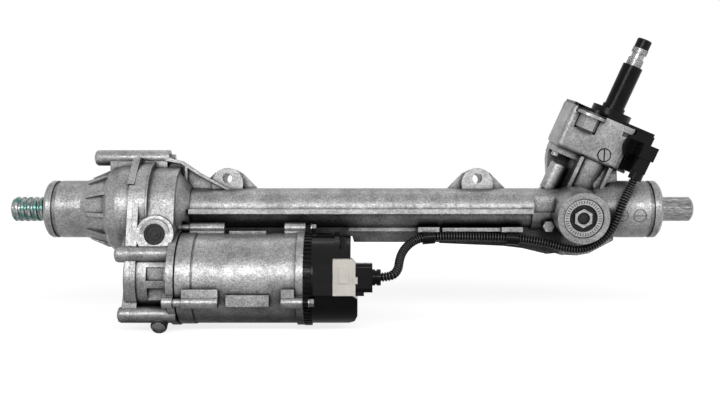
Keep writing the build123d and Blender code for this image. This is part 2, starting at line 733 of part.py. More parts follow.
def motor_pulley():
    """Small belt pulley on the motor shaft."""
    right = PULLEY_LEFT + PULLEY_WIDTH
    pulley = toothed_disc(MOTOR_TEETH, PULLEY_LEFT + 0.5, right, MOTOR_SHAFT_R - 1.5 + SEAT)
    return Pos(0, *MOTOR_AT) * Rot(belt_heading(), 0, 0) * pulley


def belt_heading():
    """Angle, seen along X, from the rack's axis to the motor's."""
    return degrees(acos(MOTOR_Y / BELT_REACH)) * (-1 if MOTOR_Z < 0 else 1)


def belt_tangent():
    """Angle between the line of centres and the radius where the belt leaves a pulley."""
    return degrees(acos((NUT_PITCH_R - MOTOR_PITCH_R) / BELT_REACH))


def tooth_angles(teeth, first, middle, half):
    """Angles of the grooves that the belt covers, about the middle of its wrap."""
    found = []
    for index in range(teeth):
        offset = (first + 360 * index / teeth - middle + 180) % 360 - 180
        if abs(offset) < half - 120 / teeth:
            found.append(radians(middle + offset))
    return found


def belt_tooth_places():
    """Centres of the belt's teeth, seen along X."""
    heading = belt_heading()
    tangent = belt_tangent()
    places = []
    for angle in tooth_angles(NUT_TEETH, 0, heading + 180, 180 - tangent):
        reach = NUT_PITCH_R - PITCH_DEPTH
        places.append((reach * cos(angle), reach * sin(angle)))
    for angle in tooth_angles(MOTOR_TEETH, heading, heading, tangent):
        reach = MOTOR_PITCH_R - PITCH_DEPTH
        places.append((MOTOR_Y + reach * cos(angle), MOTOR_Z + reach * sin(angle)))
    run = sqrt(BELT_REACH**2 - (NUT_PITCH_R - MOTOR_PITCH_R) ** 2)
    count = int(run / BELT_PITCH) - 3
    for side in (-1, 1):
        swing = radians(heading + side * tangent)
        for index in range(count):
            share = 0.5 + (index - (count - 1) / 2) * BELT_PITCH / run
            reach = NUT_PITCH_R + (MOTOR_PITCH_R - NUT_PITCH_R) * share - PITCH_DEPTH
            places.append((MOTOR_Y * share + reach * cos(swing), MOTOR_Z * share + reach * sin(swing)))
    return places


def belt_band(r_shift):
    """Face inside the belt line, moved outwards by r_shift."""
    big = Circle(NUT_PITCH_R + r_shift).edges()
    small = (Pos(*MOTOR_AT) * Circle(MOTOR_PITCH_R + r_shift)).edges()
    return make_hull(big + small)


def drive_belt():
    """Toothed belt round both pulleys, with its teeth in their grooves."""
    band = belt_band(BELT_BACK - PITCH_DEPTH) - belt_band(SEAT - PITCH_DEPTH)
    band += [Pos(*place) * Circle(TOOTH_R) for place in belt_tooth_places()]
    left = PULLEY_LEFT + (PULLEY_WIDTH - BELT_WIDTH) / 2
    return extrude(Plane.YZ.offset(left) * band, BELT_WIDTH)


# Rack

def rack_bar():
    """Rack bar: ball-screw half at the left, teeth at the back of the right half."""
    c = RACK_CHAMFER
    groove = SCREW_RELIEF_X + SCREW_RELIEF_LENGTH
    bar = turned((
        (-RACK_HALF, 0), (-RACK_HALF, RACK_R - c), (-RACK_HALF + c, RACK_R),
        (SCREW_RELIEF_X, RACK_R), (SCREW_RELIEF_X + 1, RACK_R - 1), (groove - 1, RACK_R - 1), (groove, RACK_R),
        (RACK_HALF - c, RACK_R), (RACK_HALF, RACK_R - c), (RACK_HALF, 0),
    ))
    bar -= rod(-RACK_HALF - 1, -RACK_HALF + ROD_THREAD_DEPTH, ROD_THREAD_R)
    bar -= rod(RACK_HALF - ROD_THREAD_DEPTH, RACK_HALF + 1, ROD_THREAD_R)
    return bar - on(TEETH, tooth_spaces())


def tooth_spaces():
    """What is cut away between the rack's teeth, in the teeth's own axes."""
    half = RACK_TOOTH_SPACES // 2
    reach = (half + 0.5) * RACK_PITCH + 3
    slope = tan(radians(PRESSURE_ANGLE))
    flat = block((-reach, reach), (RACK_TIP, RACK_R + 2), (-RACK_R, RACK_R))
    top = RACK_TIP + 0.5
    for index in range(-half, half + 1):
        x = index * RACK_PITCH
        wide = RACK_PITCH / 4 + BACKLASH / 2 + (top - RACK_DATUM) * slope
        narrow = RACK_PITCH / 4 + BACKLASH / 2 + (RACK_ROOT - RACK_DATUM) * slope
        space = Polyline(
            (x - wide, top), (x + wide, top), (x + narrow, RACK_ROOT), (x - narrow, RACK_ROOT),
            close=True,
        )
        flat += extrude(Plane.XY.offset(-RACK_R) * make_face(space), 2 * RACK_R)
    return flat


def rack_bush():
    """Plain bush that guides the rack at the right end."""
    right = RIGHT_END_X - BOOT_BORE_DEPTH
    bush = ring(right - BUSH_LENGTH + GAP, right, RACK_R + RUN, RACK_R + BUSH_WALL + RUN)
    return bush


# Pinion and torque sensor, all in the tower's own axes

def involute(base_r, r):
    """Polar angle of an involute at radius r."""
    grip = acos(base_r / r)
    return tan(grip) - grip


def polar(r, angle):
    """Point at a radius and an angle in radians."""
    return (r * cos(angle), r * sin(angle))


def tooth_face():
    """Cross-section of the pinion's teeth, one tooth towards the rack."""
    grip = atan(tan(radians(PRESSURE_ANGLE)) / cos(TILT))
    base_r = PITCH_R * cos(grip)
    thick = pi * PITCH_R / PINION_TEETH + 2 * PROFILE_SHIFT * PINION_MODULE * tan(grip) - BACKLASH
    half_at_base = thick / (2 * PITCH_R) + involute(base_r, PITCH_R)
    radii = [base_r + 0.02 + (PINION_TIP_R - base_r - 0.02) * (step / 4) for step in range(5)]
    face = Circle(PINION_ROOT_R)
    for index in range(PINION_TEETH):
        middle = -pi / 2 + 2 * pi * index / PINION_TEETH
        right = [polar(r, middle + involute(base_r, r) - half_at_base) for r in radii]
        left = [polar(r, middle - involute(base_r, r) + half_at_base) for r in radii]
        right_foot = polar(PINION_ROOT_R - 0.5, middle - half_at_base * 1.05)
        left_foot = polar(PINION_ROOT_R - 0.5, middle + half_at_base * 1.05)
        tip = polar(PINION_TIP_R, middle)
        outline = Line(right_foot, right[0]) + Spline(*right) + ThreePointArc(right[-1], tip, left[-1])
        outline += Spline(*left[::-1]) + Line(left[0], left_foot) + Line(left_foot, right_foot)
        face += make_face(outline)
    return face


def pinion():
    """Pinion with helical teeth, its journals and the socket for the input shaft."""
    twist = -degrees(PINION_FACE * tan(TILT) / PITCH_R)
    section = Rot(0, 0, -twist / 2) * tooth_face()
    start = Pos(0, 0, -PINION_FACE / 2) * section.face()
    teeth = Solid.extrude_linear_with_rotation(start, (0, 0, -PINION_FACE / 2), (0, 0, PINION_FACE), twist)
    low = -PINION_FACE / 2
    body = Part() + teeth
    body += upright(TOWER_BOTTOM + 6, low, PINION_JOURNAL_R)
    body += upright(low - 2.5, low, PINION_ROOT_R)
    body += upright(PINION_FACE / 2, PINION_TOP - SOCKET_DEPTH, PINION_SHAFT_R)
    body += upright(PINION_TOP - SOCKET_DEPTH, PINION_TOP, SOCKET_R + SOCKET_WALL)
    body -= socket_space()
    return body - upright(0, PINION_TOP, TORSION_R + SEAT)


def socket_space():
    """Two-flat socket that lets the input shaft twist by the stop angle."""
    flat = SOCKET_R * sin(asin(SOCKET_FLAT / SOCKET_R) + radians(STOP_ANGLE)) + RUN
    hole = Circle(SOCKET_R + RUN) & Rectangle(2 * flat, 4 * SOCKET_R)
    return extrude(Plane.XY.offset(PINION_TOP - SOCKET_DEPTH + 2) * hole, SOCKET_DEPTH)


def torsion_bar():
    """Thin bar that twists between pinion and input shaft."""
    return upright(GAP, INPUT_TOP - 14, TORSION_R)


def input_shaft():
    """Input shaft: two-flat end, sensor seat, spline and clamp groove."""
    shaft = upright(PINION_TOP + GAP, INPUT_TOP, INPUT_R)
    tang = Circle(SOCKET_R) & Rectangle(2 * SOCKET_FLAT, 4 * SOCKET_R)
    shaft += extrude(Plane.XY.offset(PINION_TOP - SOCKET_DEPTH + 2 + GAP) * tang, SOCKET_DEPTH)
    shaft -= spline_grooves()
    groove_top = CLAMP_GROOVE_T + CLAMP_GROOVE_WIDTH
    shaft -= upright_ring(CLAMP_GROOVE_T, groove_top, INPUT_R - CLAMP_GROOVE_DEPTH, INPUT_R + 1)
    shaft -= upright(0, INPUT_TOP - 14 + GAP, TORSION_R + RUN)
    return shaft


def spline_grooves():
    """Grooves between the spline teeth at the shaft's free end."""
    cut = Part()
    for index in range(SPLINE_TEETH):
        groove = Box(2 * SPLINE_DEPTH, 0.7, INPUT_TOP - SLEEVE_TOP, align=FLOAT_END)
        cut += Rot(0, 0, 360 * index / SPLINE_TEETH) * Pos(INPUT_R, 0, SLEEVE_TOP + 1) * groove
    return cut


def dust_sleeve():
    """Black sleeve on the input shaft, with its collar at the foot."""
    sleeve = upright_ring(SLEEVE_BOTTOM, SLEEVE_TOP, INPUT_R + SEAT, SLEEVE_R)
    sleeve += upright_ring(SLEEVE_BOTTOM, SLEEVE_BOTTOM + 5, INPUT_R + SEAT, SLEEVE_R + 1.6)
    return sleeve


def shaft_cap():
    """Black cap on the shaft's end."""
    cap = upright(INPUT_TOP, CAP_TOP, INPUT_R - CAP_STEP)
    return fillet(cap.edges().group_by(Axis.Z)[-1], 1.5)


def pinion_lower_bearing():
    """Sealed ball bearing below the pinion."""
    top = LOWER_BEARING_T + LOWER_BEARING_WIDTH
    return upright_ring(LOWER_BEARING_T, top, PINION_JOURNAL_R + RUN, LOWER_BEARING_R)


def pinion_upper_bearing():
    """Sealed ball bearing above the pinion."""
    top = UPPER_BEARING_T + UPPER_BEARING_WIDTH
    return upright_ring(UPPER_BEARING_T, top, PINION_SHAFT_R + RUN, UPPER_BEARING_R)


def pinion_cap():
    """Cap that closes the tower's foot."""
    cap = upright(TOWER_BOTTOM - 3, TOWER_BOTTOM + 5, LOWER_BEARING_R + 2 - SEAT)
    cap += upright(TOWER_BOTTOM - 3, TOWER_BOTTOM, LOWER_BEARING_R + 5)
    return cap


def sensor_ring():
    """Magnet ring of the torque sensor, on the pinion's socket."""
    inner = SOCKET_R + SOCKET_WALL + SEAT
    return upright_ring(PINION_TOP - 10, PINION_TOP - 2, inner, inner - SEAT + 3)


def sensor_rotor():
    """Second sensor ring, on the input shaft."""
    return upright_ring(PINION_TOP + 6, PINION_TOP + 16, INPUT_R + SEAT, INPUT_R + 6)


def sensor_housing():
    """Cast box of the torque sensor, open to the right."""
    profile = make_face(Polyline(
        (BOX_LEFT, BOX_FRONT), (BOX_RIGHT, BOX_FRONT), (BOX_RIGHT, BOX_BACK), (BOX_LEFT, BOX_BACK), close=True
    ))
    outline = fillet(profile.vertices(), 6)
    box = extrude(Plane.XY.offset(BOX_BOTTOM) * outline, BOX_TOP - BOX_BOTTOM)
    box = fillet(box.edges().group_by(Axis.Z)[0], 4.5)
    hollow = block(
        (BOX_LEFT + 14, BOX_RIGHT + 1),
        (BOX_FRONT + BOX_WALL, BOX_BACK - BOX_WALL),
        (BOX_BOTTOM + BOX_WALL, BOX_TOP - BOX_WALL),
    )
    pillar = upright(CLAMP_NUT_T - 4, BOX_TOP, CLAMP_FLANGE_R + 3, CLAMP_NUT_AT)
    box -= hollow - pillar
    box -= upright(BOX_BOTTOM - 1, BOX_BOTTOM + BOX_WALL + 1, UPPER_BEARING_R)
    box -= upright(BOX_TOP - BOX_WALL - 1, BOX_TOP + 1, INPUT_R + 4 + SEAT)
    box -= sensor_screw_bodies(SEAT)
    box -= upright(CLAMP_NUT_T, BOX_TOP + 1, CLAMP_HEX_R + 0.8, CLAMP_NUT_AT)
    box -= upright(CLAMP_NUT_T + CLAMP_NUT_HIGH - GAP, BOX_TOP + 1, CLAMP_FLANGE_R + 0.5, CLAMP_NUT_AT)
    box -= block((14, 26), (BOX_FRONT - 1, BOX_FRONT + 2.8), (BOX_TOP - 11.5, BOX_TOP - 7))
    box -= cover_disc(SEAT)
    lip = block((BOX_RIGHT - 8, BOX_RIGHT + 9), (BOX_FRONT + 7, BOX_BACK - 7), (BOX_BOTTOM, BOX_BOTTOM + BOX_WALL - GAP))
    return box + lip


def cover_disc(gap):
    """Round swelling at the front of the side cover, larger by a gap."""
    disc = Circle(COVER_DISC_R + gap)
    return extrude(Plane.XZ.offset(-BOX_FRONT - BOX_WALL) * Pos(*COVER_DISC_AT) * disc, BOX_WALL + 1.5 + gap)


def sensor_screw_bodies(gap):
    """Screws up through the tower's flange into the sensor housing, larger by a gap."""
    screws = []
    for place in sensor_screw_places():
        shank = upright(TOWER_TOP - 8, BOX_BOTTOM + 12 + gap, 2.5 + gap, place)
        screws.append(shank + upright(TOWER_TOP - 7 - 4.5, TOWER_TOP - 7, 4.5 + gap, place))
    return screws


def sensor_screws():
    """Screws between tower and sensor housing."""
    return Compound(sensor_screw_bodies(0))


def sensor_screw_places():
    """Centres of the sensor housing's screws, in the tower's axes."""
    inset = 7
    return ((BOX_LEFT + inset, BOX_FRONT + inset + 8), (BOX_LEFT + inset, BOX_BACK - inset - 2))


def clamp_nut():
    """Flanged hex nut that stands in a notch of the sensor housing."""
    hexagon = Plane.XY.offset(CLAMP_NUT_T) * Pos(*CLAMP_NUT_AT) * RegularPolygon(CLAMP_HEX_R, 6)
    body = extrude(hexagon, CLAMP_NUT_HIGH)
    body = chamfer(body.edges().group_by(Axis.Z)[0], 2.5)
    top = CLAMP_NUT_T + CLAMP_NUT_HIGH
    flange = upright(top, top + CLAMP_FLANGE_THICK, CLAMP_FLANGE_R, CLAMP_NUT_AT)
    return body + fillet(flange.edges().group_by(Axis.Z)[-1], 1)


def side_cover():
    """Black plastic cover on the sensor housing's open right side, with the socket for the cable."""
    low = BOX_BOTTOM + 4
    cover = block((BOX_RIGHT, SIDE_COVER_RIGHT - 5), (BOX_FRONT + 1, BOX_BACK - 1), (low, BOX_TOP))
    cover += block((BOX_RIGHT + 2, SIDE_COVER_RIGHT), (BOX_FRONT + 2, BOX_BACK - 4), (BOX_TOP - 16, BOX_TOP))
    cover += cover_disc(0)
    across = (PLUG_AXIS_E - 9, PLUG_AXIS_E + 8)
    cover += block(across, (PLUG_AXIS_V - 9, BOX_FRONT + 12), (PLUG_TOP, PLUG_TOP + 16))
    inside = BOX_WALL + GAP
    cover += block((BOX_RIGHT - 6, BOX_RIGHT), (BOX_FRONT + inside, BOX_BACK - inside), (low + 1, BOX_TOP - inside))
    cover -= block((BOX_RIGHT - 7, SIDE_COVER_RIGHT - 9), (BOX_FRONT + 7, BOX_BACK - 7), (low + 4, BOX_TOP - 7))
    return cover


def top_cover():
    """Black plate on the sensor housing with the raised ring round the shaft."""
    plate = make_face(Polyline(
        (BOX_LEFT + 1, BOX_FRONT + 1), (SIDE_COVER_RIGHT, BOX_FRONT + 1), (SIDE_COVER_RIGHT, BOX_BACK - 1),
        (BOX_LEFT + 1, BOX_BACK - 1), close=True,
    ))
    cover = extrude(Plane.XY.offset(BOX_TOP) * fillet(plate.vertices(), 6), TOP_PLATE)
    cover += upright(BOX_TOP, BOX_TOP + TOP_RING, TOP_RING_R)
    cover -= upright(BOX_TOP - 1, BOX_TOP + TOP_RING + 1, INPUT_R + 4 + SEAT)
    cover -= upright(BOX_TOP + TOP_RING - 3, BOX_TOP + TOP_RING + 1, TOP_RING_R - 4)
    return cover - upright(BOX_TOP - 1, BOX_TOP + TOP_PLATE + 1, CLAMP_FLANGE_R + 0.8, CLAMP_NUT_AT)


def input_bearing():
    """Needle bearing of the input shaft in the top of the sensor housing."""
    return upright_ring(BOX_TOP - BOX_WALL - 4, BOX_TOP + 2, INPUT_R + RUN, INPUT_R + 4)


def shaft_seal():
    """Rubber lip seal above the bearing, in the raised ring."""
    top = BOX_TOP + TOP_RING - 3
    seal = upright_ring(BOX_TOP + 2, top, INPUT_R + RUN, INPUT_R + 4)
    return seal + upright_ring(top, top + 1.5, INPUT_R + RUN, TOP_RING_R - 4 - SEAT)


def sensor_board():
    """Circuit board of the torque sensor, round the input shaft above the rings."""
    level = PINION_TOP + 20
    inside = BOX_WALL + GAP
    board = block((BOX_LEFT + 16, BOX_RIGHT - 6 - GAP), (BOX_FRONT + inside, BOX_BACK - inside), (level, level + 1.6))
    board -= upright(level - 1, level + 3, CLAMP_FLANGE_R + 3 + GAP, CLAMP_NUT_AT)
    return board - upright(level - 1, level + 3, INPUT_R + 5)


def sensor_plug():
    """Plug of the cable in the sensor's socket."""
    at = (PLUG_AXIS_E, PLUG_AXIS_V)
    plug = block((at[0] - 7, at[0] + 6), (at[1] - 7, at[1] + 7), (PLUG_BOTTOM + 9, PLUG_TOP))
    plug += upright(PLUG_BOTTOM, PLUG_BOTTOM + 9, CABLE_R + 2.5, at)
    return plug - upright(PLUG_BOTTOM - 1, PLUG_BOTTOM + PLUG_GRIP, CABLE_R + SEAT, at)


# Yoke, in its own axes: Z towards the viewer from the rack's axis, X along the rack

def across(r, half):
    """Bar along the rack's axis, in the yoke's axes."""
    return Rot(0, 90, 0) * Cylinder(r, 2 * half)


def yoke():
    """Sliding yoke that presses the rack against the pinion."""
    body = upright(YOKE_FACE, YOKE_BACK, YOKE_R)
    body -= across(RACK_R + RUN + LINER_THICK + SEAT, YOKE_R + 1)
    for z in (YOKE_BACK - 6, YOKE_BACK - 15):
        body -= upright_ring(z, z + O_RING + 0.4, YOKE_R - O_RING, YOKE_R + 1)
    return body - upright(YOKE_BACK - 9, YOKE_BACK + 1, 7)


def yoke_liner():
    """Low-friction strip between yoke and rack."""
    strip = across(RACK_R + RUN + LINER_THICK, YOKE_R - 2) - across(RACK_R + RUN, YOKE_R)
    return strip & upright(YOKE_FACE, YOKE_BACK, YOKE_R + 4)


def yoke_o_rings():
    """Two O-rings that damp the yoke in its bore."""
    rings = []
    for z in (YOKE_BACK - 6, YOKE_BACK - 15):
        rings.append(upright_ring(z + 0.2, z + 0.2 + O_RING, YOKE_R - O_RING + SEAT, YOKE_R))
    return Compound(rings)


def yoke_spring():
    """Disc spring between yoke and plug."""
    low = YOKE_BACK + SEAT
    high = yoke_plug_foot() - SEAT
    outline = Polyline((8, high - 1.2), (16.5, low), (16.5, low + 1.2), (8, high), close=True)
    return revolve(Plane.XZ * make_face(outline), Axis.Z)


def yoke_plug_foot():
    """Inner face of the yoke's adjusting plug."""
    return YOKE_BOSS_END - 1.5 - YOKE_PLUG_THICK


def yoke_plug():
    """Adjusting plug with a hex boss and centre hole."""
    top = YOKE_BOSS_END - 1.5
    plug = upright(yoke_plug_foot(), top, YOKE_PLUG_R)
    plug -= upright(top - 4, top + 1, YOKE_RECESS_R)
    plug += extrude(Plane.XY.offset(top - 5) * RegularPolygon(YOKE_HEX / 2 / cos(pi / 6), 6, rotation=30), 5)
    return plug - upright(top - 6, top + 1, 6.8)


# Motor, in the working frame

def motor_housing():
    """Motor casting: solid front end with the bearing seat, cup, right flange, bolt bosses and flat pads."""
    left_end = MOTOR_LEFT + 18
    body = turned((
        (MOTOR_LEFT, 0), (MOTOR_LEFT, MOTOR_R - 0.5), (MOTOR_LEFT + 1.5, MOTOR_R + 0.8), (left_end, MOTOR_R + 0.8),
        (left_end, MOTOR_R - 0.6), (left_end + 2, MOTOR_R - 0.6), (left_end + 2, MOTOR_R),
        (FLANGE_LEFT, MOTOR_R), (FLANGE_LEFT, MOTOR_FLANGE_R), (MOTOR_RIGHT, MOTOR_FLANGE_R), (MOTOR_RIGHT, 0),
    ), MOTOR_AT)
    added = [rod(MOTOR_LEFT - 6, MOTOR_LEFT, MOTOR_BEARING_R + 4 - SEAT, MOTOR_AT)]
    for place in motor_bolt_places():
        added.append(rod(LEFT_BOSS_START, LEFT_BOSS_END, BOLT_BOSS_R, place))
        added.append(rod(MOTOR_LEFT, LEFT_BOSS_START + 1, BOLT_R + 1.4, place))
        added.append(rod(RIGHT_BOSS_START, MOTOR_RIGHT, BOLT_BOSS_R, place))
        added.append(boss_root(LEFT_BOSS_START, LEFT_BOSS_END, place))
        added.append(boss_root(RIGHT_BOSS_START, MOTOR_RIGHT, place))
    added.append(block((-136, -95), (MOTOR_Y - 9, MOTOR_Y + 9), (MOTOR_Z + 40, MOTOR_Z + MOTOR_R + 2.4)))
    added.append(block((-134, -88), (MOTOR_Y - MOTOR_R - 1, MOTOR_Y - 35), (MOTOR_Z - 27, MOTOR_Z - 14.5)))
    for side in (-1, 1):
        wide = sorted((MOTOR_Y + side * 40, MOTOR_Y + side * (MOTOR_R + 4.5)))
        high = (MOTOR_Z - 17.2, MOTOR_Z - 8.2)
        added.append(block((LEFT_BOSS_START, LEFT_BOSS_END), wide, high))
        added.append(block((RIGHT_BOSS_START, FLANGE_LEFT - 1), wide, high))
    removed = [
        rod(STACK_LEFT - 8, MOTOR_RIGHT + 1, MOTOR_R - MOTOR_WALL, MOTOR_AT),
        rod(MOTOR_LEFT - 7, MOTOR_RIGHT, MOTOR_SHAFT_R + 1, MOTOR_AT),
        rod(FRONT_BEARING_LEFT, STACK_LEFT, MOTOR_BEARING_R + SEAT, MOTOR_AT),
    ]
    for place in motor_bolt_places():
        removed.append(rod(MOTOR_LEFT - 1, LEFT_BOSS_END + 1, BOLT_R + GAP, place))
        removed.append(rod(motor_bolt_seat(), LEFT_BOSS_END + 1, BOLT_HEAD_R + GAP, place))
        removed.append(rod(RIGHT_BOSS_START + 3, MOTOR_RIGHT + 1, BOLT_R + SEAT, place))
    return body + added - removed


def boss_root(x0, x1, place):
    """Fillet-like plate between a bolt boss and the motor's wall."""
    inward = (MOTOR_Y + (place[0] - MOTOR_Y) * 0.78, MOTOR_Z + (place[1] - MOTOR_Z) * 0.78)
    outline = (Pos(*place) * Circle(BOLT_BOSS_R - 2)).edges() + (Pos(*inward) * Circle(BOLT_BOSS_R + 2)).edges()
    return extrude(Plane.YZ.offset(x0) * make_hull(outline), x1 - x0)


def motor_bolt_seat():
    """Where the motor bolts' heads bear, deep in their bosses."""
    return LEFT_BOSS_END - BOLT_HEAD - 1


def motor_bolts():
    """Long bolts from the motor into the gear case."""
    return Compound([bolt(CASE_BACK_X - 2, motor_bolt_seat(), place) for place in motor_bolt_places()])


def motor_stator():
    """Laminated stator with its slots."""
    face = Circle(MOTOR_R - MOTOR_WALL - SEAT) - Circle(STATOR_BORE_R)
    for index in range(STATOR_SLOTS):
        slot = Pos(SLOT_MIDDLE, 0) * Rectangle(SLOT_DEPTH, SLOT_WIDTH) + Pos(STATOR_BORE_R, 0) * Rectangle(6, 2)
        face -= Rot(0, 0, 360 * index / STATOR_SLOTS) * slot
    return extrude(Plane.YZ.offset(STACK_LEFT) * Pos(*MOTOR_AT) * face, STACK_RIGHT - STACK_LEFT)


def stator_coils():
    """Copper coils in the stator's slots, standing out at both ends."""
    coils = []
    for index in range(STATOR_SLOTS):
        coil = Pos(SLOT_MIDDLE, 0) * Rectangle(SLOT_DEPTH - 0.4, SLOT_WIDTH - 0.4)
        coil = Rot(0, 0, 360 * index / STATOR_SLOTS) * coil
        left = Plane.YZ.offset(STACK_LEFT - COIL_OVERHANG)
        coils.append(extrude(left * Pos(*MOTOR_AT) * coil, STACK_RIGHT - STACK_LEFT + 2 * COIL_OVERHANG))
    return Compound([solid for coil in coils for solid in coil.solids()])


def motor_shaft():
    """Motor shaft with the thinner seat of the belt pulley."""
    step = PULLEY_LEFT + PULLEY_WIDTH
    shaft = rod(PULLEY_LEFT + 1.5, step, MOTOR_SHAFT_R - 1.5, MOTOR_AT)
    return shaft + rod(step, REAR_BEARING_LEFT + REAR_BEARING_WIDTH + 2, MOTOR_SHAFT_R, MOTOR_AT)


def rotor_core():
    """Laminated rotor core on the motor shaft."""
    return ring(STACK_LEFT, STACK_RIGHT, MOTOR_SHAFT_R + SEAT, ROTOR_R - MAGNET_THICK - SEAT, MOTOR_AT)


def rotor_magnets():
    """Shell magnets on the rotor core."""
    shell = ring(STACK_LEFT + 2, STACK_RIGHT - 2, ROTOR_R - MAGNET_THICK, ROTOR_R)
    gap = block((STACK_LEFT, STACK_RIGHT), (0, ROTOR_R + 2), (-1, 1))
    shell -= [Rot(360 * index / MAGNETS, 0, 0) * gap for index in range(MAGNETS)]
    return Pos(0, *MOTOR_AT) * Compound(list(shell.solids()))


def motor_front_bearing():
    """Sealed ball bearing at the motor's pulley end."""
    right = FRONT_BEARING_LEFT + MOTOR_BEARING_WIDTH
    return ring(FRONT_BEARING_LEFT, right, MOTOR_SHAFT_R + RUN, MOTOR_BEARING_R, MOTOR_AT)


def motor_rear_bearing():
    """Sealed ball bearing at the motor's control-unit end."""
    right = REAR_BEARING_LEFT + REAR_BEARING_WIDTH
    return ring(REAR_BEARING_LEFT, right, MOTOR_SHAFT_R + RUN, REAR_BEARING_R, MOTOR_AT)


def motor_end_plate():
    """Plate that carries the rear bearing and closes the motor's cup."""
    right = REAR_BEARING_LEFT + REAR_BEARING_WIDTH
    plate = turned((
        (right - 6, 0), (right - 6, MOTOR_R - MOTOR_WALL - SEAT), (right, MOTOR_R - MOTOR_WALL - SEAT), (right, 0),
    ), MOTOR_AT)
    plate += rod(REAR_BEARING_LEFT - 1, right, REAR_BEARING_R + 4, MOTOR_AT)
    return plate - rod(REAR_BEARING_LEFT - 2, right + 1, REAR_BEARING_R + SEAT, MOTOR_AT)


# Control unit

def control_band():
    """Ribbed black ring between motor and control unit, with three ears."""
    face = Circle(BAND_R - 1.6)
    for index in range(BAND_RIBS):
        face += Rot(0, 0, 360 * index / BAND_RIBS) * Pos(BAND_R - 2, 0) * Rectangle(4, BAND_R * pi / BAND_RIBS)
    face -= Circle(MOTOR_R - MOTOR_WALL)
    band = extrude(Plane.YZ.offset(MOTOR_RIGHT) * Pos(*MOTOR_AT) * face, BAND_RIGHT - MOTOR_RIGHT)
    ears = [boss_root(MOTOR_RIGHT, BAND_RIGHT - 2, place) for place in motor_bolt_places()]
    band += ears
    removed = [rod(MOTOR_RIGHT - 1, BAND_RIGHT + 1, MOTOR_R - MOTOR_WALL, MOTOR_AT)]
    for place in motor_bolt_places():
        removed.append(rod(MOTOR_RIGHT - 1, BAND_RIGHT + 1, BOLT_R + GAP, place))
        removed.append(rod(BAND_RIGHT - 2, BAND_RIGHT + 1, BOLT_HEAD_R + GAP, place))
    return band - removed


def unit_screws():
    """Screws through the band's ears into the motor."""
    return Compound([bolt(RIGHT_BOSS_START + 5, BAND_RIGHT - 2, place) for place in motor_bolt_places()])


def control_cover():
    """Black cover of the control unit: round at the motor, stepped and rounded at its right end."""
    step = MOTOR_Z - 14
    low = MOTOR_Z - UNIT_R - 1
    high = MOTOR_Z + UNIT_R
    outline = make_face(Polyline(
        (BAND_RIGHT, high), (UNIT_STEP_X, high), (UNIT_STEP_X, high - 2), (UNIT_RIGHT - 7.5, high - 2),
        (UNIT_RIGHT - 7.5, step), (UNIT_RIGHT, step - 5), (UNIT_RIGHT, low + 12), (UNIT_RIGHT - 3, low + 5),
        (UNIT_RIGHT - 11, low + 1), (BAND_RIGHT, low), close=True,
    ))
    body = rod(BAND_RIGHT, UNIT_RIGHT, UNIT_R, MOTOR_AT)
    body &= extrude(Plane.XZ.offset(-MOTOR_Y) * outline, UNIT_R + 5, both=True)
    body += block((BAND_RIGHT + 3, UNIT_STEP_X + 2), (SOCKET_FRONT + 3, MOTOR_Y), (SOCKET_LOW, SOCKET_HIGH - 8))
    strip = ring(-19, -13.5, UNIT_R - 1, UNIT_R + 1.6, MOTOR_AT)
    body += strip & block((-20, -13), (-90, MOTOR_Y - 8), (SOCKET_HIGH - 2, 0))
    body += Pos(-8.8, -64, SOCKET_HIGH - 2) * Cylinder(3.7, 24, align=FLOAT_END)
    body -= rod(BAND_RIGHT - 1, UNIT_RIGHT - 7.5 - UNIT_WALL, UNIT_R - UNIT_WALL, MOTOR_AT)
    body -= unit_socket_block(SEAT)
    return body - power_socket_block(SEAT)


def unit_socket_block(gap):
    """Outer block of the front socket, larger by a gap."""
    return block(
        (UNIT_STEP_X + 2 - gap, UNIT_RIGHT - 2 + gap),
        (SOCKET_FRONT, MOTOR_Y - 28 + gap),
        (SOCKET_LOW - gap, SOCKET_HIGH + gap),
    )


def unit_socket():
    """Grey socket for the sensor cable, with the raised patch on its front."""
    body = unit_socket_block(0)
    corner = body.edges().filter_by(Axis.Y).group_by(Axis.Z)[-1].sort_by(Axis.X)[-1]
    body = chamfer(corner, 4)
    body += block((-13.5, -3), (SOCKET_FRONT - 1, SOCKET_FRONT + 1), (SOCKET_LOW + 13, SOCKET_HIGH - 8))
    inside = (SOCKET_LOW + 7, SOCKET_HIGH - 9)
    return body - block((-12, UNIT_RIGHT), (PLUG_Y - 9, PLUG_Y + 9), inside)


def unit_plug():
    """Black plug in the front socket."""
    body = block((UNIT_RIGHT - 2, PLUG_RIGHT), (PLUG_Y - 12, PLUG_Y + 12), (PLUG_Z - 15.5, PLUG_Z + 15.5))
    body = fillet(body.edges().filter_by(Axis.X), 5)
    body += block((-11, UNIT_RIGHT - 1), (PLUG_Y - 8.6, PLUG_Y + 8.6), (SOCKET_LOW + 7.4, SOCKET_HIGH - 9.4))
    body += block((UNIT_RIGHT - 2, UNIT_RIGHT + 7), (PLUG_Y - 10, PLUG_Y - 3), (PLUG_Z - 19, PLUG_Z - 13))
    return body


def plug_collar():
    """Round collar that holds the corrugated cable in its plug."""
    collar = rod(PLUG_RIGHT, PLUG_RIGHT + 9, 8.7, (PLUG_Y, PLUG_Z))
    collar -= ring(PLUG_RIGHT + 3, PLUG_RIGHT + 4.5, 7.4, 9, (PLUG_Y, PLUG_Z))
    return collar - rod(PLUG_RIGHT + 2, PLUG_RIGHT + 10, CABLE_R + SEAT, (PLUG_Y, PLUG_Z))


def control_board():
    """Round circuit board across the control unit."""
    return ring(BAND_RIGHT + 10, BAND_RIGHT + 11.6, 3, UNIT_R - UNIT_WALL - SEAT, MOTOR_AT)


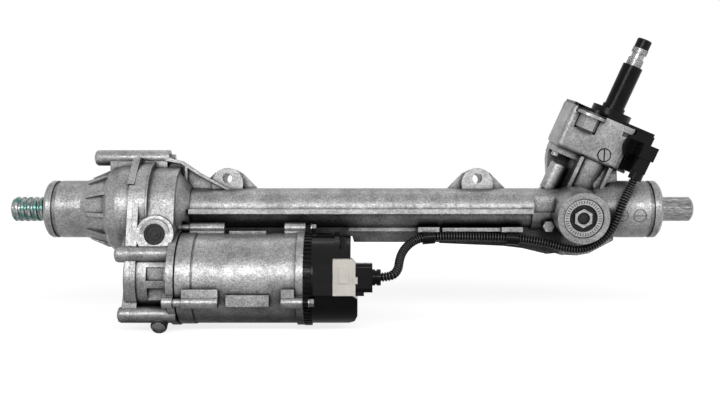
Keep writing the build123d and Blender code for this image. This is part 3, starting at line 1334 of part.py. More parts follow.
def power_socket_block(gap):
    """Outer block of the power socket at the back of the control unit, larger by a gap."""
    back = MOTOR_Y + UNIT_R + 8
    return block((-32 - gap, -8 + gap), (MOTOR_Y + 34 - gap, back), (MOTOR_Z - 18 - gap, MOTOR_Z + 18 + gap))


def power_socket():
    """Power socket at the back of the control unit, open away from the viewer."""
    inside = block((-29, -11), (MOTOR_Y + 38, MOTOR_Y + UNIT_R + 9), (MOTOR_Z - 15, MOTOR_Z + 15))
    body = power_socket_block(0) - inside
    for z in (-8, 8):
        body += block((-21, -19), (MOTOR_Y + 36, MOTOR_Y + UNIT_R + 2), (MOTOR_Z + z - 3, MOTOR_Z + z + 3))
    return body


# Cable

def cable_points():
    """Route of the cable from inside the plug's collar to inside the sensor's plug."""
    foot = on_tower(PLUG_AXIS_E, PLUG_AXIS_V, PLUG_BOTTOM - 9)
    last = on_tower(PLUG_AXIS_E, PLUG_AXIS_V, PLUG_BOTTOM + PLUG_GRIP)
    first = [(PLUG_RIGHT + 2, PLUG_Y, PLUG_Z), (PLUG_RIGHT + 19, PLUG_Y, PLUG_Z)]
    return first + list(CABLE_ROUTE) + [foot, last]


def on_tower(e, v, t):
    """Point given in the tower's own axes."""
    return TOWER.from_local_coords(Vector(e, v, t))


def cable_radii(points):
    """Arc radius at each inner point: as large as its two runs allow."""
    radii = []
    for before, here, after in zip(points, points[1:], points[2:]):
        come = Vector(here) - Vector(before)
        leave = Vector(after) - Vector(here)
        half_turn = radians(come.get_angle(leave) / 2)
        radii.append(0.45 * min(come.length, leave.length) / tan(half_turn))
    return radii


def cable_tube(r):
    """Round tube along the cable's route."""
    points = cable_points()
    path = FilletPolyline(*points, radius=cable_radii(points))
    return sweep(Plane(origin=path @ 0, z_dir=path % 0) * Circle(r), path=path)


def sensor_cable():
    """Corrugated cable, drawn as a plain tube along its route."""
    print("cable radii:", [round(radius) for radius in cable_radii(cable_points())])
    return cable_tube(CABLE_R)


def route_at(x):
    """Y and Z of the cable's route where it passes a given X."""
    for before, after in zip(CABLE_ROUTE, CABLE_ROUTE[1:]):
        if before[0] <= x <= after[0]:
            share = (x - before[0]) / (after[0] - before[0])
            return tuple(before[axis] + share * (after[axis] - before[axis]) for axis in (1, 2))
    return CABLE_ROUTE[0][1:]


def cable_clips():
    """Two clips that hang the cable under the tube."""
    clips = Part()
    around = cable_tube(CABLE_R + 2.4)
    for x in CLIP_XS:
        y, z = route_at(x)
        left, right = x - CLIP_LENGTH / 2, x + CLIP_LENGTH / 2
        clips += around & block((left, right), (y - 20, y + 20), (z - 20, CLIP_PAD_Z))
        clips += block((left, right), (y - 5, y + 6), (z, CLIP_PAD_Z))
    return clips - cable_tube(CABLE_R + SEAT)


# Nodes drawn in the working frame, and in the axes of the tower and of the yoke
NODES = {
    "main_housing": main_housing,
    "gear_cover": gear_cover,
    "cover_bolts": cover_bolts,
    "inspection_plug": inspection_plug,
    "drain_plug": drain_plug,
    "nut_bearing_outer": nut_bearing_outer,
    "nut_bearing_inner": nut_bearing_inner,
    "bearing_retainer": bearing_retainer,
    "ball_nut": ball_nut,
    "nut_pulley": nut_pulley,
    "pulley_lock_ring": pulley_lock_ring,
    "motor_pulley": motor_pulley,
    "drive_belt": drive_belt,
    "rack_bar": rack_bar,
    "rack_bush": rack_bush,
    "motor_housing": motor_housing,
    "motor_bolts": motor_bolts,
    "motor_stator": motor_stator,
    "stator_coils": stator_coils,
    "motor_shaft": motor_shaft,
    "rotor_core": rotor_core,
    "rotor_magnets": rotor_magnets,
    "motor_front_bearing": motor_front_bearing,
    "motor_rear_bearing": motor_rear_bearing,
    "motor_end_plate": motor_end_plate,
    "control_band": control_band,
    "unit_screws": unit_screws,
    "control_cover": control_cover,
    "control_board": control_board,
    "unit_socket": unit_socket,
    "unit_plug": unit_plug,
    "plug_collar": plug_collar,
    "power_socket": power_socket,
    "sensor_cable": sensor_cable,
    "cable_clips": cable_clips,
}
TOWER_NODES = {
    "sensor_housing": sensor_housing,
    "pinion": pinion,
    "torsion_bar": torsion_bar,
    "input_shaft": input_shaft,
    "dust_sleeve": dust_sleeve,
    "shaft_cap": shaft_cap,
    "pinion_lower_bearing": pinion_lower_bearing,
    "pinion_upper_bearing": pinion_upper_bearing,
    "pinion_cap": pinion_cap,
    "sensor_ring": sensor_ring,
    "sensor_rotor": sensor_rotor,
    "sensor_screws": sensor_screws,
    "clamp_nut": clamp_nut,
    "side_cover": side_cover,
    "top_cover": top_cover,
    "input_bearing": input_bearing,
    "shaft_seal": shaft_seal,
    "sensor_board": sensor_board,
    "sensor_plug": sensor_plug,
}
YOKE_NODES = {
    "yoke": yoke,
    "yoke_liner": yoke_liner,
    "yoke_o_rings": yoke_o_rings,
    "yoke_spring": yoke_spring,
    "yoke_plug": yoke_plug,
}


def save(name, shape):
    """Writes a node's file in the part's own frame, whose origin lies between the lugs."""
    export_step(Pos(0, -LUG_SEAT_Y, -LUG_Z) * shape, f"parts/{name}.step")


os.makedirs("parts", exist_ok=True)
for name, make in NODES.items():
    save(name, make())
for name, make in TOWER_NODES.items():
    save(name, on(TOWER, make()))
for name, make in YOKE_NODES.items():
    save(name, on(YOKE, make()))
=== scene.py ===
import json
import math

import bmesh
import bpy
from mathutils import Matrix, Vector


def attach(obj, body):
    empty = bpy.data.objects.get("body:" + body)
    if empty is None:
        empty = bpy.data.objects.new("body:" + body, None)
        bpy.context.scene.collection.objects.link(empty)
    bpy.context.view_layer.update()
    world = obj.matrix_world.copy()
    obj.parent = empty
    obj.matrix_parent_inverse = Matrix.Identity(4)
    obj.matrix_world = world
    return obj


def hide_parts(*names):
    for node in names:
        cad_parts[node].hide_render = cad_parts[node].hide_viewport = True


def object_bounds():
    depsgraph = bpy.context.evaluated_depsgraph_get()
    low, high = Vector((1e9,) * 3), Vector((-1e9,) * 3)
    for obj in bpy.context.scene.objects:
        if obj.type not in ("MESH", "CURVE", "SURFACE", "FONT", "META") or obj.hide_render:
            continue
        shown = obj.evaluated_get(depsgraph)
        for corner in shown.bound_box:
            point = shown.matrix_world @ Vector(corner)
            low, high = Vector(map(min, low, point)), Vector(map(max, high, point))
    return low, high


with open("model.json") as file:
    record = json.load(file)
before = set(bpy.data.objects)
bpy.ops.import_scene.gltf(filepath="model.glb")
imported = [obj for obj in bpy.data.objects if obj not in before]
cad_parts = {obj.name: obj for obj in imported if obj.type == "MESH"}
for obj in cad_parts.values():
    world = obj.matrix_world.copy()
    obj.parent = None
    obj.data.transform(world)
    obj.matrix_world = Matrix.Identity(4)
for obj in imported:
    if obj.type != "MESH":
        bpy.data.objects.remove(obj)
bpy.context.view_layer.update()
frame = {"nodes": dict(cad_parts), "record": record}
nodes = frame["nodes"]
scene = bpy.context.scene

# Main sizes of the CAD part, in millimetres and degrees of its working frame

MM = 0.001
SHIFT = Vector((0.0, -32.0, -35.0))
LEAN, TILT = math.radians(10.5), math.radians(22.5)
PINION_X = 252.6
PINION_TEETH, MODULE, PROFILE_SHIFT, RACK_DATUM = 8, 2.1, 0.42, 9.56
YOKE_FACE = 55.5
SEAT_R = 32.6
RACK_R, RACK_HALF = 14.0, 388.0
TAP_R, TAP_END = 6.9, 360.0
SCREW_END = -104.0

UP = Vector((math.sin(TILT), -math.sin(LEAN) * math.cos(TILT), math.cos(LEAN) * math.cos(TILT)))
SIDE = Vector((math.cos(TILT), math.sin(LEAN) * math.sin(TILT), -math.cos(LEAN) * math.sin(TILT)))
BACK = Vector((0.0, math.cos(LEAN), math.sin(LEAN)))
LEVEL = Vector((0.0, -math.sin(LEAN), math.cos(LEAN)))
PITCH_R = PINION_TEETH * MODULE / (2 * math.cos(TILT))
PINION = Vector((PINION_X, 0, 0)) + BACK * (RACK_DATUM + PITCH_R + PROFILE_SHIFT * MODULE)


def mm(x, y, z):
    """Point of the working frame, in millimetres, as a point of the row frame in metres."""
    return (Vector((x, y, z)) + SHIFT) * MM


def on_tower(e, v, t):
    """Point in the tower's own axes, in millimetres, as a point of the row frame in metres."""
    return mm(*(PINION + SIDE * e + BACK * v + UP * t))


# Camera, background and light

camera_data = bpy.data.cameras.new("camera")
camera_data.lens = 45.0
camera_data.sensor_width = 36.0
camera_data.sensor_fit = "HORIZONTAL"
camera_data.clip_start = 0.05
camera = bpy.data.objects.new("camera", camera_data)
camera.location = mm(8.8, -1035.0, 7.5)
camera.rotation_euler = (math.radians(90), 0, 0)
scene.collection.objects.link(camera)
scene.camera = camera
scene.view_settings.view_transform = "Standard"


def graph(tree, kind, **values):
    """Adds a shader node; a value goes to the input of that name or number, or to the node's own setting."""
    node = tree.nodes.new(kind)
    for key, value in values.items():
        if key.startswith("set_"):
            setattr(node, key[4:], value)
            continue
        numbered = key[0] == "i" and key[1:].isdigit()
        socket = node.inputs[int(key[1:]) if numbered else key.replace("_", " ")]
        if isinstance(value, bpy.types.NodeSocket):
            tree.links.new(value, socket)
        else:
            socket.default_value = value
    return node


def combine(tree, operation, a, b):
    """One number from two."""
    return graph(tree, "ShaderNodeMath", set_operation=operation, i0=a, i1=b).outputs[0]


def make_world():
    """White to the camera and in reflections, softer for diffuse light."""
    world = bpy.data.worlds.new("studio")
    world.use_nodes = True
    scene.world = world
    tree = world.node_tree
    tree.nodes.clear()
    path = graph(tree, "ShaderNodeLightPath")
    seen = combine(tree, "MAXIMUM", path.outputs["Is Camera Ray"], path.outputs["Is Glossy Ray"])
    seen = combine(tree, "MAXIMUM", seen, path.outputs["Is Transmission Ray"])
    soft = graph(tree, "ShaderNodeBackground", Color=(1, 1, 1, 1), Strength=0.16)
    white = graph(tree, "ShaderNodeBackground", Color=(1, 1, 1, 1), Strength=1.0)
    mix = graph(tree, "ShaderNodeMixShader", i0=seen, i1=soft.outputs[0], i2=white.outputs[0])
    graph(tree, "ShaderNodeOutputWorld", Surface=mix.outputs[0])


def lamp(name, place, aim, size, power):
    """Rectangular soft lamp."""
    data = bpy.data.lights.new(name, "AREA")
    data.shape = "RECTANGLE"
    data.size, data.size_y = size
    data.energy = power
    obj = bpy.data.objects.new(name, data)
    obj.location = place
    obj.rotation_euler = (Vector(aim) - Vector(place)).to_track_quat("-Z", "Y").to_euler()
    scene.collection.objects.link(obj)


make_world()
lamp("key", (-0.1, -1.15, 0.3), (0, 0, -0.02), (1.6, 0.22), 10)
lamp("top", (0.05, 0.3, 1.3), (0, 0, 0), (1.7, 0.2), 1.8)
lamp("side", (1.3, -0.5, 0.3), (0.1, 0, 0), (0.4, 0.9), 4.5)


# Materials

def new_material(name):
    """Empty node material with its tree."""
    material = bpy.data.materials.new(name)
    material.use_nodes = True
    tree = material.node_tree
    tree.nodes.clear()
    return material, tree


def noise(tree, scale, detail=3.0, rough=0.55, stretch=None):
    """Noise in object coordinates, with features of about 1/scale metres."""
    coord = graph(tree, "ShaderNodeTexCoord").outputs["Object"]
    if stretch:
        coord = graph(tree, "ShaderNodeMapping", Vector=coord, Scale=stretch).outputs[0]
    node = graph(tree, "ShaderNodeTexNoise", Vector=coord, Scale=scale, Detail=detail, Roughness=rough)
    return node.outputs["Fac"]


def ramp(tree, fac, *stops):
    """Colour ramp from (position, grey or colour) stops."""
    node = tree.nodes.new("ShaderNodeValToRGB")
    tree.links.new(fac, node.inputs[0])
    elements = node.color_ramp.elements
    while len(elements) < len(stops):
        elements.new(0.5)
    for element, (position, colour) in zip(elements, stops):
        element.position = position
        if not isinstance(colour, tuple):
            colour = (colour, colour, colour)
        element.color = (*colour, 1.0)
    return node.outputs[0]


def multiply(tree, a, b, amount=1.0):
    """Product of two colours."""
    node = tree.nodes.new("ShaderNodeMix")
    node.data_type = "RGBA"
    node.blend_type = "MULTIPLY"
    node.inputs[0].default_value = amount
    tree.links.new(a, node.inputs[6])
    tree.links.new(b, node.inputs[7])
    return node.outputs[2]


def film_over(tree, fac, colour, film):
    """Colour with a film of another colour over it, as thick as the factor."""
    node = tree.nodes.new("ShaderNodeMix")
    node.data_type = "RGBA"
    tree.links.new(fac, node.inputs[0])
    tree.links.new(colour, node.inputs[6])
    node.inputs[7].default_value = (*film, 1.0)
    return node.outputs[2]


def bumps(tree, heights, soften=0.0):
    """Chain of bump nodes from (height, distance, strength), on softened edges."""
    normal = None
    if soften:
        normal = graph(tree, "ShaderNodeBevel", set_samples=4, Radius=soften).outputs[0]
    for height, distance, strength in heights:
        node = graph(tree, "ShaderNodeBump", Height=height, Distance=distance, Strength=strength)
        if normal:
            tree.links.new(normal, node.inputs["Normal"])
        normal = node.outputs[0]
    return normal


def finish_shader(tree, colour, roughness, metallic, normal, **extra):
    """Principled shader on the output."""
    shader = graph(
        tree, "ShaderNodeBsdfPrincipled",
        Base_Color=colour, Roughness=roughness, Metallic=metallic, Normal=normal,
    )
    for key, value in extra.items():
        shader.inputs[key.replace("_", " ")].default_value = value
    graph(tree, "ShaderNodeOutputMaterial", Surface=shader.outputs[0])


def painted_corner_shade(tree, distance, low):
    """Painted shade: darker where walls are near, as shade falls in corners and crevices."""
    near = graph(tree, "ShaderNodeAmbientOcclusion", set_samples=8, Distance=distance).outputs["AO"]
    return ramp(tree, near, (0.3, low), (0.92, 1.0))


def cast_metal(name, dark, light, rough):
    """Grainy die-cast aluminium."""
    material, tree = new_material(name)
    colour = ramp(tree, noise(tree, 40, 4, 0.6), (0.3, dark), (0.7, light))
    spots = ramp(tree, noise(tree, 420, 4, 0.7), (0.34, 0.6), (0.5, 1.0), (0.68, 1.35))
    grit = ramp(tree, noise(tree, 1000, 2, 0.7), (0.33, 0.45), (0.5, 0.95), (0.66, 1.4))
    colour = multiply(tree, multiply(tree, colour, spots, 0.85), grit, 0.75)
    # Painted shade: much darker where walls are within 3 cm, and darker again in fine creases within 6 mm.
    colour = multiply(tree, colour, painted_corner_shade(tree, 0.03, 0.08))
    colour = multiply(tree, colour, painted_corner_shade(tree, 0.006, 0.35))
    roughness = ramp(tree, noise(tree, 130, 3), (0.3, rough - 0.09), (0.7, rough + 0.12))
    grain, waves = noise(tree, 750, 3), noise(tree, 140, 2)
    normal = bumps(tree, ((grain, 0.00035, 0.55), (waves, 0.0012, 0.25)), soften=0.0011)
    finish_shader(tree, colour, roughness, 0.7, normal)
    return material


def plain_metal(name, dark, light, rough, stretch=(1, 1, 1)):
    """Machined or ground metal with fine lines along a direction."""
    material, tree = new_material(name)
    lines = noise(tree, 900, 2, 0.6, stretch)
    colour = ramp(tree, lines, (0.35, dark), (0.65, light))
    # Painted shade: darker where walls are within 8 mm.
    colour = multiply(tree, colour, painted_corner_shade(tree, 0.008, 0.3))
    roughness = ramp(tree, noise(tree, 220, 3), (0.3, rough - 0.06), (0.7, rough + 0.08))
    normal = bumps(tree, ((lines, 0.00006, 0.5),), soften=0.0004)
    finish_shader(tree, colour, roughness, 0.97, normal)
    return material


def screw_metal():
    """Ball track: ground steel with painted shade in its grooves, and a green film of old preservative."""
    material, tree = new_material("screw_steel")
    lines = noise(tree, 700, 2, 0.6, (1, 0.3, 0.3))
    colour = ramp(tree, lines, (0.35, 0.14), (0.65, 0.46))
    film = ramp(tree, noise(tree, 95, 4, 0.65), (0.4, 0.0), (0.6, 0.8))
    colour = film_over(tree, film, colour, (0.02, 0.17, 0.14))
    # Painted shade in the track's grooves.
    colour = multiply(tree, colour, painted_corner_shade(tree, 0.004, 0.2))
    roughness = ramp(tree, noise(tree, 220, 3), (0.3, 0.16), (0.7, 0.34))
    finish_shader(tree, colour, roughness, 0.97, bumps(tree, ((lines, 0.00005, 0.4),)))
    return material


def moulded(name, dark, light, rough, grain=600, gloss=0.5):
    """Moulded plastic or rubber with a fine skin and a little dust."""
    material, tree = new_material(name)
    colour = ramp(tree, noise(tree, 70, 4, 0.6), (0.3, dark), (0.72, light))
    roughness = ramp(tree, noise(tree, 160, 3), (0.3, rough - 0.08), (0.7, rough + 0.12))
    normal = bumps(tree, ((noise(tree, grain, 3), 0.00008, 0.5),), soften=0.0007)
    finish_shader(tree, colour, roughness, 0.0, normal, Specular_IOR_Level=gloss)
    return material


MATERIALS = {
    "cast_aluminium": cast_metal("cast_aluminium", 0.22, 0.42, 0.36),
    # Dark casting for the webs under the tube, as painted shade.
    "painted_shade_cast": cast_metal("painted_shade_cast", 0.04, 0.1, 0.5),
    "machined_aluminium": plain_metal("machined_aluminium", 0.28, 0.5, 0.34, (0.2, 1, 1)),
    "steel": plain_metal("steel", 0.22, 0.42, 0.24, (0.1, 1, 1)),
    "bearing_steel": plain_metal("bearing_steel", 0.45, 0.6, 0.22),
    "zinc_steel": plain_metal("zinc_steel", 0.2, 0.38, 0.3),
    "rack_steel": plain_metal("rack_steel", 0.12, 0.36, 0.15, (0.15, 1, 1)),
    "screw_steel": screw_metal(),
    "laminations": plain_metal("laminations", 0.2, 0.36, 0.45, (4, 0.2, 0.2)),
    "copper": plain_metal("copper", (0.45, 0.17, 0.08), (0.66, 0.3, 0.14), 0.3, (0.2, 3, 3)),
    "magnet": plain_metal("magnet", 0.32, 0.42, 0.25),
    "bronze": plain_metal("bronze", (0.42, 0.28, 0.12), (0.55, 0.4, 0.2), 0.35),
    # Near-black metal for painted shade in the yoke plug's gap, recess and tick marks, and for the dark
    # marks on the boot seat.
    "painted_shade_and_dark_marks": plain_metal("painted_shade_and_dark_marks", 0.02, 0.07, 0.45),
    "black_plastic": moulded("black_plastic", 0.002, 0.006, 0.15, gloss=0.13),
    "cover_black": moulded("cover_black", 0.002, 0.006, 0.16, gloss=0.18),
    "plug_grey": moulded("plug_grey", 0.012, 0.035, 0.35, gloss=0.3),
    # Paler black for the conduit's rib crests, as a painted highlight.
    "crest_painted_highlight": moulded("crest_painted_highlight", 0.03, 0.07, 0.2),
    "grey_plastic": moulded("grey_plastic", (0.6, 0.57, 0.52), (0.74, 0.705, 0.645), 0.4),
    "board_green": moulded("board_green", (0.02, 0.09, 0.04), (0.03, 0.13, 0.06), 0.4),
    "rubber": moulded("rubber", 0.002, 0.006, 0.16, gloss=0.1),
    "belt_rubber": moulded("belt_rubber", 0.015, 0.03, 0.7, grain=900),
    "liner": moulded("liner", (0.2, 0.13, 0.07), (0.3, 0.2, 0.12), 0.5),
}
OWN_LOOKS = {"inspection_plug": "plug_grey", "control_cover": "cover_black"}

for part in frame["record"]["subparts"]:
    look = OWN_LOOKS.get(part["node"], part["material_slot"])
    obj = nodes[part["node"]]
    obj.data.materials.clear()
    obj.data.materials.append(MATERIALS[look])


# Helpers for the scene's own pieces

def add_mesh(name, verts, faces, material, smooth=True):
    """Mesh object from vertices in metres."""
    mesh = bpy.data.meshes.new(name)
    mesh.from_pydata([tuple(v) for v in verts], [], faces)
    mesh.validate()
    mesh.update()
    for polygon in mesh.polygons:
        polygon.use_smooth = smooth
    mesh.materials.append(material)
    obj = bpy.data.objects.new(name, mesh)
    scene.collection.objects.link(obj)
    return obj


def tube_faces(rings, around):
    """Quads between rings of points, one ring after the other."""
    faces = []
    for i in range(rings - 1):
        for j in range(around):
            k = (j + 1) % around
            faces.append((i * around + j, i * around + k, (i + 1) * around + k, (i + 1) * around + j))
    return faces


# Cable: the route's points are those of the CAD part

ROUTE = [mm(*point) for point in (
    (24.0, -71.5, -72.7), (41.0, -71.5, -72.7), (50.0, -62.5, -66.0), (52.0, -50.5, -54.5),
    (56.5, -40.5, -45.5), (65.0, -31.0, -37.5), (76.0, -24.5, -32.5), (98.0, -22.5, -30.8),
    (128.0, -22.0, -31.0), (160.0, -22.2, -31.6), (190.0, -22.5, -33.2), (217.0, -22.8, -37.5),
    (244.0, -24.0, -45.5), (262.0, -27.5, -45.0), (276.0, -33.0, -36.5), (285.5, -39.0, -26.0),
    (291.5, -42.5, -13.0), (296.0, -42.5, 0.0), (301.2, -40.7, 11.2),
)] + [on_tower(40.5, -50.0, 50.0), on_tower(40.5, -50.0, 64.0)]

RIB_PITCH = 0.0031
GROOVE_R, RIB_HEIGHT = 0.0037, 0.0013
STEPS_PER_RIB, CONDUIT_SIDES = 8, 20


def route_line(points, resolution=24):
    """Points along the smooth spline of a route, and its length."""
    curve = bpy.data.curves.new("route", "CURVE")
    curve.dimensions = "3D"
    spline = curve.splines.new("NURBS")
    spline.points.add(len(points) - 1)
    for slot, point in zip(spline.points, points):
        slot.co = (*point, 1.0)
    spline.order_u = 3
    spline.use_endpoint_u = True
    spline.resolution_u = resolution
    obj = bpy.data.objects.new("route", curve)
    mesh = bpy.data.meshes.new_from_object(obj)
    line = [v.co.copy() for v in mesh.vertices]
    bpy.data.meshes.remove(mesh)
    bpy.data.objects.remove(obj)
    bpy.data.curves.remove(curve)
    return line, sum((b - a).length for a, b in zip(line, line[1:]))


def along(line, step):
    """Points at even steps along a line, with the direction at each."""
    places, travelled, wanted = [], 0.0, 0.0
    for a, b in zip(line, line[1:]):
        run = (b - a).length
        while wanted <= travelled + run and run > 0:
            places.append((a.lerp(b, (wanted - travelled) / run), (b - a).normalized()))
            wanted += step
        travelled += run
    return places


def corrugated(name, line):
    """Corrugated conduit along a line, with a paler painted highlight on the crests of its rounded ribs."""
    verts = []
    side = None
    places = along(line, RIB_PITCH / STEPS_PER_RIB)
    for index, (point, direction) in enumerate(places):
        if side is None:
            side = direction.orthogonal()
        side = (side - direction * side.dot(direction)).normalized()
        other = direction.cross(side)
        phase = (index % STEPS_PER_RIB) / STEPS_PER_RIB
        rise = 0.5 + 0.5 * math.cos(2 * math.pi * phase)
        r = GROOVE_R + RIB_HEIGHT * min(1.0, rise * 1.4)
        for j in range(CONDUIT_SIDES):
            angle = 2 * math.pi * j / CONDUIT_SIDES
            verts.append(point + (side * math.cos(angle) + other * math.sin(angle)) * r)
    faces = tube_faces(len(places), CONDUIT_SIDES)
    obj = add_mesh(name, verts, faces, MATERIALS["black_plastic"])
    obj.data.materials.append(MATERIALS["crest_painted_highlight"])
    # Painted highlight: the faces at each rib's crest get the paler second material.
    for index, polygon in enumerate(obj.data.polygons):
        if index // CONDUIT_SIDES % STEPS_PER_RIB in (0, STEPS_PER_RIB - 1):
            polygon.material_index = 1
    return obj


line, cable_length = route_line(ROUTE)
conduit = corrugated("conduit", line)
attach(conduit, "housing")
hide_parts("sensor_cable")
tuple(ROUTE[0])
[tuple(p) for p in line]


# Rack bar with its ball track; the toothed end is the CAD shape

SCREW_LEAD = 7.0
TRACK_BALL_R, TRACK_CENTRE_R = 2.3, 14.85
NOSE_R = 11.5
SCREW_SIDES, SCREW_STEP = 56, 0.3


def screw_radius(x, angle):
    """Radius of the bar at x, in millimetres, with the round ball track wound round it."""
    phase = ((x / SCREW_LEAD - angle / (2 * math.pi)) % 1.0 - 0.5) * SCREW_LEAD
    r = RACK_R
    if abs(phase) < TRACK_BALL_R:
        r = min(RACK_R, TRACK_CENTRE_R - math.sqrt(TRACK_BALL_R * TRACK_BALL_R - phase * phase))
    fade = min(1.0, max(0.0, (SCREW_END - 4 - x) / 5))
    r = RACK_R + (r - RACK_R) * fade
    return min(r, NOSE_R + (x + RACK_HALF))


def rack_ring(x, radius_at):
    """Ring of points round the rack bar, whose radius may change with the angle."""
    points = []
    for j in range(SCREW_SIDES):
        angle = 2 * math.pi * j / SCREW_SIDES
        r = radius_at(x, angle)
        points.append(mm(x, r * math.cos(angle), r * math.sin(angle)))
    return points


def rack_screw():
    """Left end of the rack bar: tapped hole, chamfer and ball track."""
    tapped = ((-TAP_END, 0.01), (-TAP_END, TAP_R), (1 - RACK_HALF, TAP_R), (-RACK_HALF, TAP_R + 0.9))
    verts = []
    for x, r in tapped:
        verts += rack_ring(x, lambda x, angle, r=r: r)
    start, stop = -RACK_HALF, SCREW_END
    count = int((stop - start) / SCREW_STEP)
    for i in range(count + 1):
        verts += rack_ring(start + (stop - start) * i / count, screw_radius)
    faces = tube_faces(count + 1 + len(tapped), SCREW_SIDES)
    return add_mesh("rack_screw", verts, faces, MATERIALS["screw_steel"])


def rack_toothed():
    """The rest of the rack bar, cut from the CAD node's own mesh."""
    mesh = nodes["rack_bar"].data.copy()
    mesh.name = "rack_toothed"
    shape = bmesh.new()
    shape.from_mesh(mesh)
    bmesh.ops.bisect_plane(
        shape, geom=shape.verts[:] + shape.edges[:] + shape.faces[:],
        plane_co=mm(SCREW_END, 0, 0), plane_no=(1, 0, 0), clear_inner=True,
    )
    shape.to_mesh(mesh)
    shape.free()
    for polygon in mesh.polygons:
        polygon.use_smooth = True
    mesh.set_sharp_from_angle(angle=math.radians(28))
    obj = bpy.data.objects.new("rack_toothed", mesh)
    scene.collection.objects.link(obj)
    return obj


for obj in (rack_screw(), rack_toothed()):
    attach(obj, "rack")
    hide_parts("rack_bar")


# Small marks and webs of the casting

def placer(origin, out, up):
    """Turns (across, up, out) in millimetres at a face into a point of the row frame."""
    across = up.cross(out)
    return lambda u, w, h: mm(*(origin + across * u + up * w + out * h))


def seat_placer(x, below):
    """The same on the round boot seat, a little below its middle."""
    middle = math.asin(below / SEAT_R)

    def at(u, w, h):
        turn = middle - w / SEAT_R
        return mm(x + u, -(SEAT_R + h) * math.cos(turn), -(SEAT_R + h) * math.sin(turn))

    return at


def arc(r, start=0.0, stop=360.0, count=40):
    """Points on part of a circle, angles in degrees."""
    steps = count if stop - start >= 360 else count - 1
    angles = [math.radians(start + (stop - start) * i / steps) for i in range(count)]
    return [(r * math.cos(a), r * math.sin(a)) for a in angles]


def radial_bar(angle, inner, outer, half):
    """Outline of a thin bar that points away from the centre."""
    c, s = math.cos(math.radians(angle)), math.sin(math.radians(angle))
    corners = ((inner, -half), (outer, -half), (outer, half), (inner, half))
    return [(r * c - t * s, r * s + t * c) for r, t in corners]


def settle(name, verts, faces, material):
    """A flat-faced piece that rides on the housing, with its material slot."""
    piece = add_mesh(name, verts, faces, MATERIALS[material], smooth=False)
    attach(piece, "housing")


def band(name, at, inner, outer, low, high, material):
    """Flat ring between two radii on a face."""
    around = 64
    verts = []
    for r, h in ((inner, low), (outer, low), (outer, high), (inner, high), (inner, low)):
        verts += [at(u, w, h) for u, w in arc(r, count=around)]
    settle(name, verts, tube_faces(5, around), material)


def prisms(name, at, outlines, low, high, material):
    """Straight bars on the given outlines, in one mesh."""
    verts, faces = [], []
    for outline in outlines:
        first, count = len(verts), len(outline)
        verts += [at(u, w, low) for u, w in outline] + [at(u, w, high) for u, w in outline]
        faces.append([first + i for i in reversed(range(count))])
        faces.append([first + count + i for i in range(count)])
        for i in range(count):
            k = (i + 1) % count
            faces.append([first + i, first + k, first + count + k, first + count + i])
    settle(name, verts, faces, material)


# Yoke plug: tick marks and the line round it in dark painted shade, its recess darkened with painted shade,
# and a dark disc of painted shade in its middle

at_yoke = placer(Vector((PINION_X, 0.0, 0.0)), -BACK, LEVEL)
ticks = [radial_bar(angle, 16.4, 19.6, 0.42) for angle in range(0, 360, 9)]
prisms("plug_ticks_painted_shade", at_yoke, ticks, YOKE_FACE - 0.1, YOKE_FACE + 0.06, "painted_shade_and_dark_marks")
band("plug_gap_painted_shade", at_yoke, 21.0, 21.95, YOKE_FACE - 0.1, YOKE_FACE + 0.06, "painted_shade_and_dark_marks")
prisms("plug_recess_painted_shade", at_yoke, [arc(15.0)], YOKE_FACE - 4.1, YOKE_FACE - 3.9, "painted_shade_and_dark_marks")
prisms("plug_hole_painted_shade", at_yoke, [arc(6.7)], YOKE_FACE - 5.9, YOKE_FACE - 4.0, "rubber")

# Slotted plug in the front of the sensor housing

SLOT_ANGLE, SLOT_HALF = 112.5, 6.0
at_box = placer(PINION + SIDE * 4.9 + BACK * -28.0 + UP * 70.7, -BACK, UP)
halves = [arc(6.6, SLOT_ANGLE + turn + SLOT_HALF, SLOT_ANGLE + turn + 180 - SLOT_HALF) for turn in (0, 180)]
prisms("slot_plug_ring", at_box, [arc(7.9)], -0.2, 0.12, "rubber")
prisms("slot_plug", at_box, halves, 0.0, 0.7, "zinc_steel")

# Round marks on the right boot seat

for number, (x, r) in enumerate(((301.5, 6.9), (321.2, 7.4))):
    at_seat = seat_placer(x, 7.5)
    cross = ((-r, -0.3), (r, -0.3), (r, 0.3), (-r, 0.3))
    band(f"seat_mark_{number}", at_seat, r - 0.7, r, -0.3, 0.05, "painted_shade_and_dark_marks")
    prisms(f"seat_cross_{number}", at_seat, [cross], -0.3, 0.05, "painted_shade_and_dark_marks")
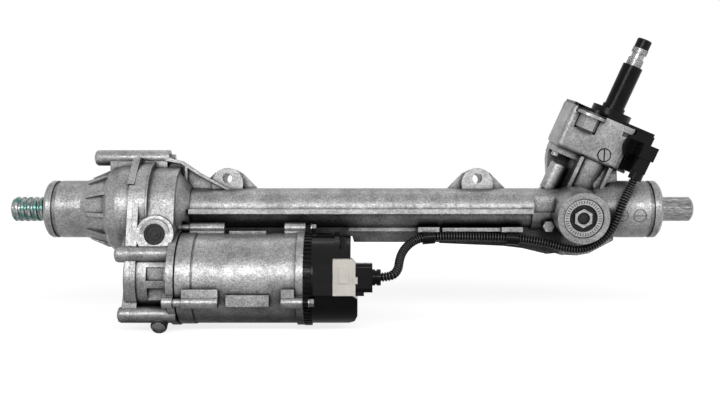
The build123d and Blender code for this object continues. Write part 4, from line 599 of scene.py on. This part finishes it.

# Webs under the tube and at the tower's shoulder, and the latch of the control unit's plug. The tube webs
# are dark painted shade under the tube, and one of them covers the face of the CAD part's own web to paint
# its shade.

upright = placer(Vector((0.0, 0.0, 0.0)), Vector((0.0, -1.0, 0.0)), Vector((0.0, 0.0, 1.0)))
webs = (
    ((-183.0, -19.0), (-183.0, -29.0), (-4.0, -29.0), (-4.0, -19.0)),
    ((-4.0, -25.5), (-4.0, -29.9), (0.0, -31.2), (2.0, -37.7), (99.9, -37.8), (99.9, -25.5)),
    (
        (100.0, -30.0), (100.0, -39.0), (173.0, -42.2), (194.5, -44.8),
        (222.4, -51.5), (236.0, -50.0), (240.0, -25.0), (185.0, -18.0),
    ),
)
shoulder = ((291.0, 36.0), (302.0, 36.0), (302.0, 44.3), (296.0, 46.8), (291.0, 48.1))
latch = ((1.5, -78.4), (6.3, -78.4), (6.3, -71.3), (1.5, -71.3))
prisms("tube_web_painted_shade", upright, webs, -4.1, 4.1, "painted_shade_cast")
prisms("shoulder_web", upright, [shoulder], -9.0, 7.0, "cast_aluminium")
prisms("plug_latch", upright, [latch], 87.0, 88.8, "grey_plastic")


# Floor

def rising(tree, value, start, stop, first, last=1.0):
    """Number that goes from first to last while the value goes from start to stop."""
    node = graph(
        tree, "ShaderNodeMapRange", Value=value, From_Min=start, From_Max=stop, To_Min=first, To_Max=last,
    )
    return node.outputs[0]


def make_floor_material():
    """Matt pale floor that meets the white background without an edge and still takes the shadow."""
    material, tree = new_material("floor")
    colour = ramp(tree, noise(tree, 3, 2), (0.3, 0.40), (0.7, 0.43))
    matt = graph(tree, "ShaderNodeBsdfDiffuse", Color=colour, Roughness=0.5)
    path = graph(tree, "ShaderNodeLightPath")
    place = graph(tree, "ShaderNodeNewGeometry").outputs["Position"]
    far = graph(tree, "ShaderNodeVectorMath", set_operation="LENGTH", i0=place).outputs["Value"]
    bright = combine(tree, "MULTIPLY", path.outputs["Is Camera Ray"], rising(tree, far, 0.5, 1.4, 0.8))
    # Painted shade: in reflections the floor glows only 0.15 near the middle, rising to 1 at 0.6 m, so the
    # object's undersides mirror a darker floor.
    reflected_glow_painted_shade = combine(tree, "MULTIPLY", path.outputs["Is Glossy Ray"], rising(tree, far, 0.2, 0.6, 0.15))
    share = combine(tree, "MAXIMUM", bright, reflected_glow_painted_shade)
    white = graph(tree, "ShaderNodeEmission", Color=(1, 1, 1, 1), Strength=share)
    both = graph(tree, "ShaderNodeAddShader", i0=matt.outputs[0], i1=white.outputs[0])
    graph(tree, "ShaderNodeOutputMaterial", Surface=both.outputs[0])
    return material


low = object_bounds()[0][2]
corners = [(-6, -6, low), (6, -6, low), (6, 6, low), (-6, 6, low)]
floor = add_mesh("floor", corners, [(0, 1, 2, 3)], make_floor_material(), False)
